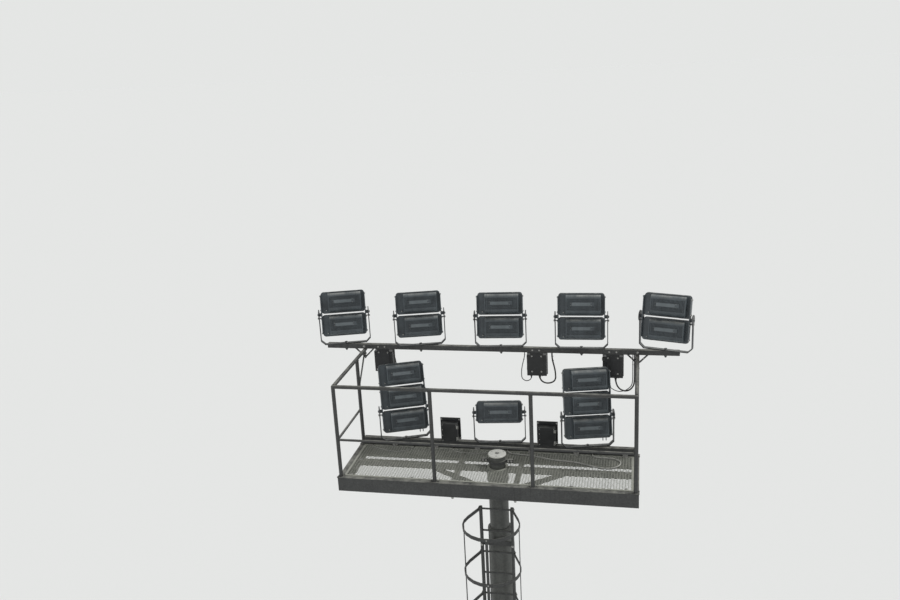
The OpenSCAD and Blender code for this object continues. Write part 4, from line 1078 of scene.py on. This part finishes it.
def buildLampMetal(name, body, place, modules):
    screw = screwShape(0.0042, 0.0011)
    metal = {"ribs": 13, "ribFrom": -0.168, "ribPitch": 0.028, "boltX": 0.2657, "boltY": (-0.027, 0.018),
             "boltZ": (-0.085, 0.085), "pinX": 0.3006, "fixings": (
                 # frame and side screws, clips and their pins, the bare plate's rivets and the vent
                 (screw, forward, (-0.2, -0.1, 0, 0.1, 0.2), 0.0397, (-0.123, 0.123)),
                 (screw, forward, (-0.253, 0.253), 0.0397, (-0.06, 0.06)),
                 (barShape(0.034, 0.026, 0.0022, 0.0006), upward, (-0.16, 0.16), 0.018, (-0.1274, 0.1274)),
                 (rodShape(0.003, 0.034, 10), (1, 0, 0), (-0.177, 0.143), 0.004, (-0.1252, 0.1252)),
                 (rodShape(0.0032, 0.0014, 10, 0.002), backward, (-0.115, 0.115), -0.0868, (-0.004, 0.026)),
                 (rodShape(0.008, 0.012, 6, bevel=0.001), backward, [-0.2], -0.0072, [-0.09]),
                 (rodShape(0.0055, 0.006, 16, 0.004), backward, [-0.2], -0.0192, [-0.09]))}
    rim, ribs = roundedFrame(0.51, 0.25, 0.03, 0.004, -0.0105, -0.0072), ribShapes()
    barePlate = roundedPlate(0.21, 0.034, 0.003, -0.0868, -0.0878)
    bits, plates, fins = [], [], []
    for m in modules:
        for shape, aim, xs, y, zs in metal["fixings"]:
            bits += spread(shape, aim, xs, [y], zs, m)
        bits += twins(boltShape(0.013, 0.008), metal["boltX"], metal["boltY"], metal["boltZ"], m)
        plates.append((barePlate, m @ shift(0, 0, 0.011)))
        # the shoulders of the housing carry low ribs that run down into the fins
        fins += [(rib, m @ shift(lampShape["housingShift"] + metal["ribFrom"] + metal["ribPitch"] * k, 0, 0))
                 for k in range(metal["ribs"]) for rib in ribs]
        fins.append((rim, m))
    for shape, x, z in ((rodShape(0.0125, 0.0022, 20, bevel=0.0004), metal["pinX"], -lampShape["lockDrop"]),
                        (boltShape(0.018, 0.0105), metal["pinX"] + 0.0016, -lampShape["lockDrop"]),
                        (rodShape(0.0185, 0.002, 24, bevel=0.0004), metal["pinX"], 0)):
        bits += twins(shape, x, [0], [z], place)
    joined("lampMetalwork" + name, bits, body, "bolt")
    joined("lampPlates" + name, plates, body, "plate")
    joined("lampRibs" + name, fins, body, "lamp")


def buildYokeMetal(name, body, foot, arm):
    # the foot bolt's washers, studs on the arms, and the marks that the lamp's tilt is read from
    yoke = {"markX": 0.2998, "markRadius": 0.0582, "markStep": 5, "marks": range(-4, 5), "studX": 0.2997,
            "studZ": (0.075, 0.3)}
    steel = [(rodShape(0.0225, 0.003, 28, bevel=0.0006), foot @ shift(0, 0, 0.0099)),
             (rodShape(0.0215, 0.003, 28, bevel=0.0006), foot @ turnTo((0, 0, -1), (0, 0, -arm - 0.0007))),
             (ringWeld(0.0125, 0.0018, 20, 4), foot @ shift(0, 0, 0.0135))]
    marks = []
    for x in (-yoke["markX"], yoke["markX"]):
        pivot = foot @ shift(x, 0, lampShape["yokeHigh"])
        marks += [(barShape(0.0009, 0.0008, 0.0058 if k % 2 else 0.0042),
                   pivot @ spin(yoke["markStep"] * k, "X") @ shift(0, 0, -yoke["markRadius"])) for k in yoke["marks"]]
    steel += twins(rodShape(0.0045, 0.0025, 14, bevel=0.0005), yoke["studX"], [0], yoke["studZ"], foot)
    joined("yokeHardware" + name, steel, body, "bolt")
    joined("tiltMarks" + name, marks, body, "bolt")


def buildLamp(i):
    row, count, below = lampRows[i][0], *lampRows[i][4:]
    name, place = f"_{i + 1}", lampPlace(i)
    modules = [place @ shift(0, 0, (k + 0.5 - below) * lampShape["pitch"]) for k in range(count)]
    buildLampFront(name, "lamp" + name, modules)
    buildLampMetal(name, "lamp" + name, place, modules)
    buildYokeMetal(name, "yoke" + name, yokePlace(i), mast["armSize"] if row == "upper" else 0.006)


for lampIndex in range(len(lampRows)):
    buildLamp(lampIndex)
print("lamps fitted")


# backdrop and light
def buildStage():
    stage = {"size": 1600, "tone": (0.78, 0.79, 0.78), "white": (1.0, 1.0, 1.0), "sky": 0.52}
    suns = {"keySun": {"power": 1.7, "spread": 12, "aim": (38, 0, 118)},
            "fillSun": {"power": 0.35, "spread": 60, "aim": (60, 0, -30)}}
    data = bpy.data.meshes.new("studioFloor")
    half = stage["size"] / 2
    data.from_pydata([(-half, -half, 0), (half, -half, 0), (half, half, 0), (-half, half, 0)], [], [(0, 1, 2, 3)])
    floor = bpy.data.objects.new("studioFloor", data)
    scene.collection.objects.link(floor)
    material, tree, shader, vector = startMaterial("paleFloor")
    shader.inputs["Base Color"].default_value = (*stage["tone"], 1)
    shader.inputs["Roughness"].default_value = 0.9
    shader.inputs["Specular IOR Level"].default_value = 0  # no sheen, so that its tone is the same from all sides
    data.materials.append(material)

    world = bpy.data.worlds.new("studioWorld")
    scene.world = world
    world.use_nodes = True
    tree = world.node_tree
    background = tree.nodes["Background"]
    path = addNode(tree, "ShaderNodeLightPath")
    # the camera and the panes see the floor's tone, and the part is lit by a plain sky
    seen = mathNode(tree, "MAXIMUM", path.outputs["Is Camera Ray"], path.outputs["Is Transmission Ray"])
    feed(tree, background.inputs["Color"], mixColor(tree, seen, stage["white"], stage["tone"]))
    feed(tree, background.inputs["Strength"], rampNode(tree, seen, 0.0, 1.0, stage["sky"], 1.0))

    for name, sun in suns.items():
        data = bpy.data.lights.new(name, "SUN")
        data.energy = sun["power"]
        data.angle = math.radians(sun["spread"])
        light = bpy.data.objects.new(name, data)
        light.rotation_euler = [math.radians(a) for a in sun["aim"]]
        scene.collection.objects.link(light)


buildStage()
scene.view_settings.view_transform = "Standard"
print("stage and light set")
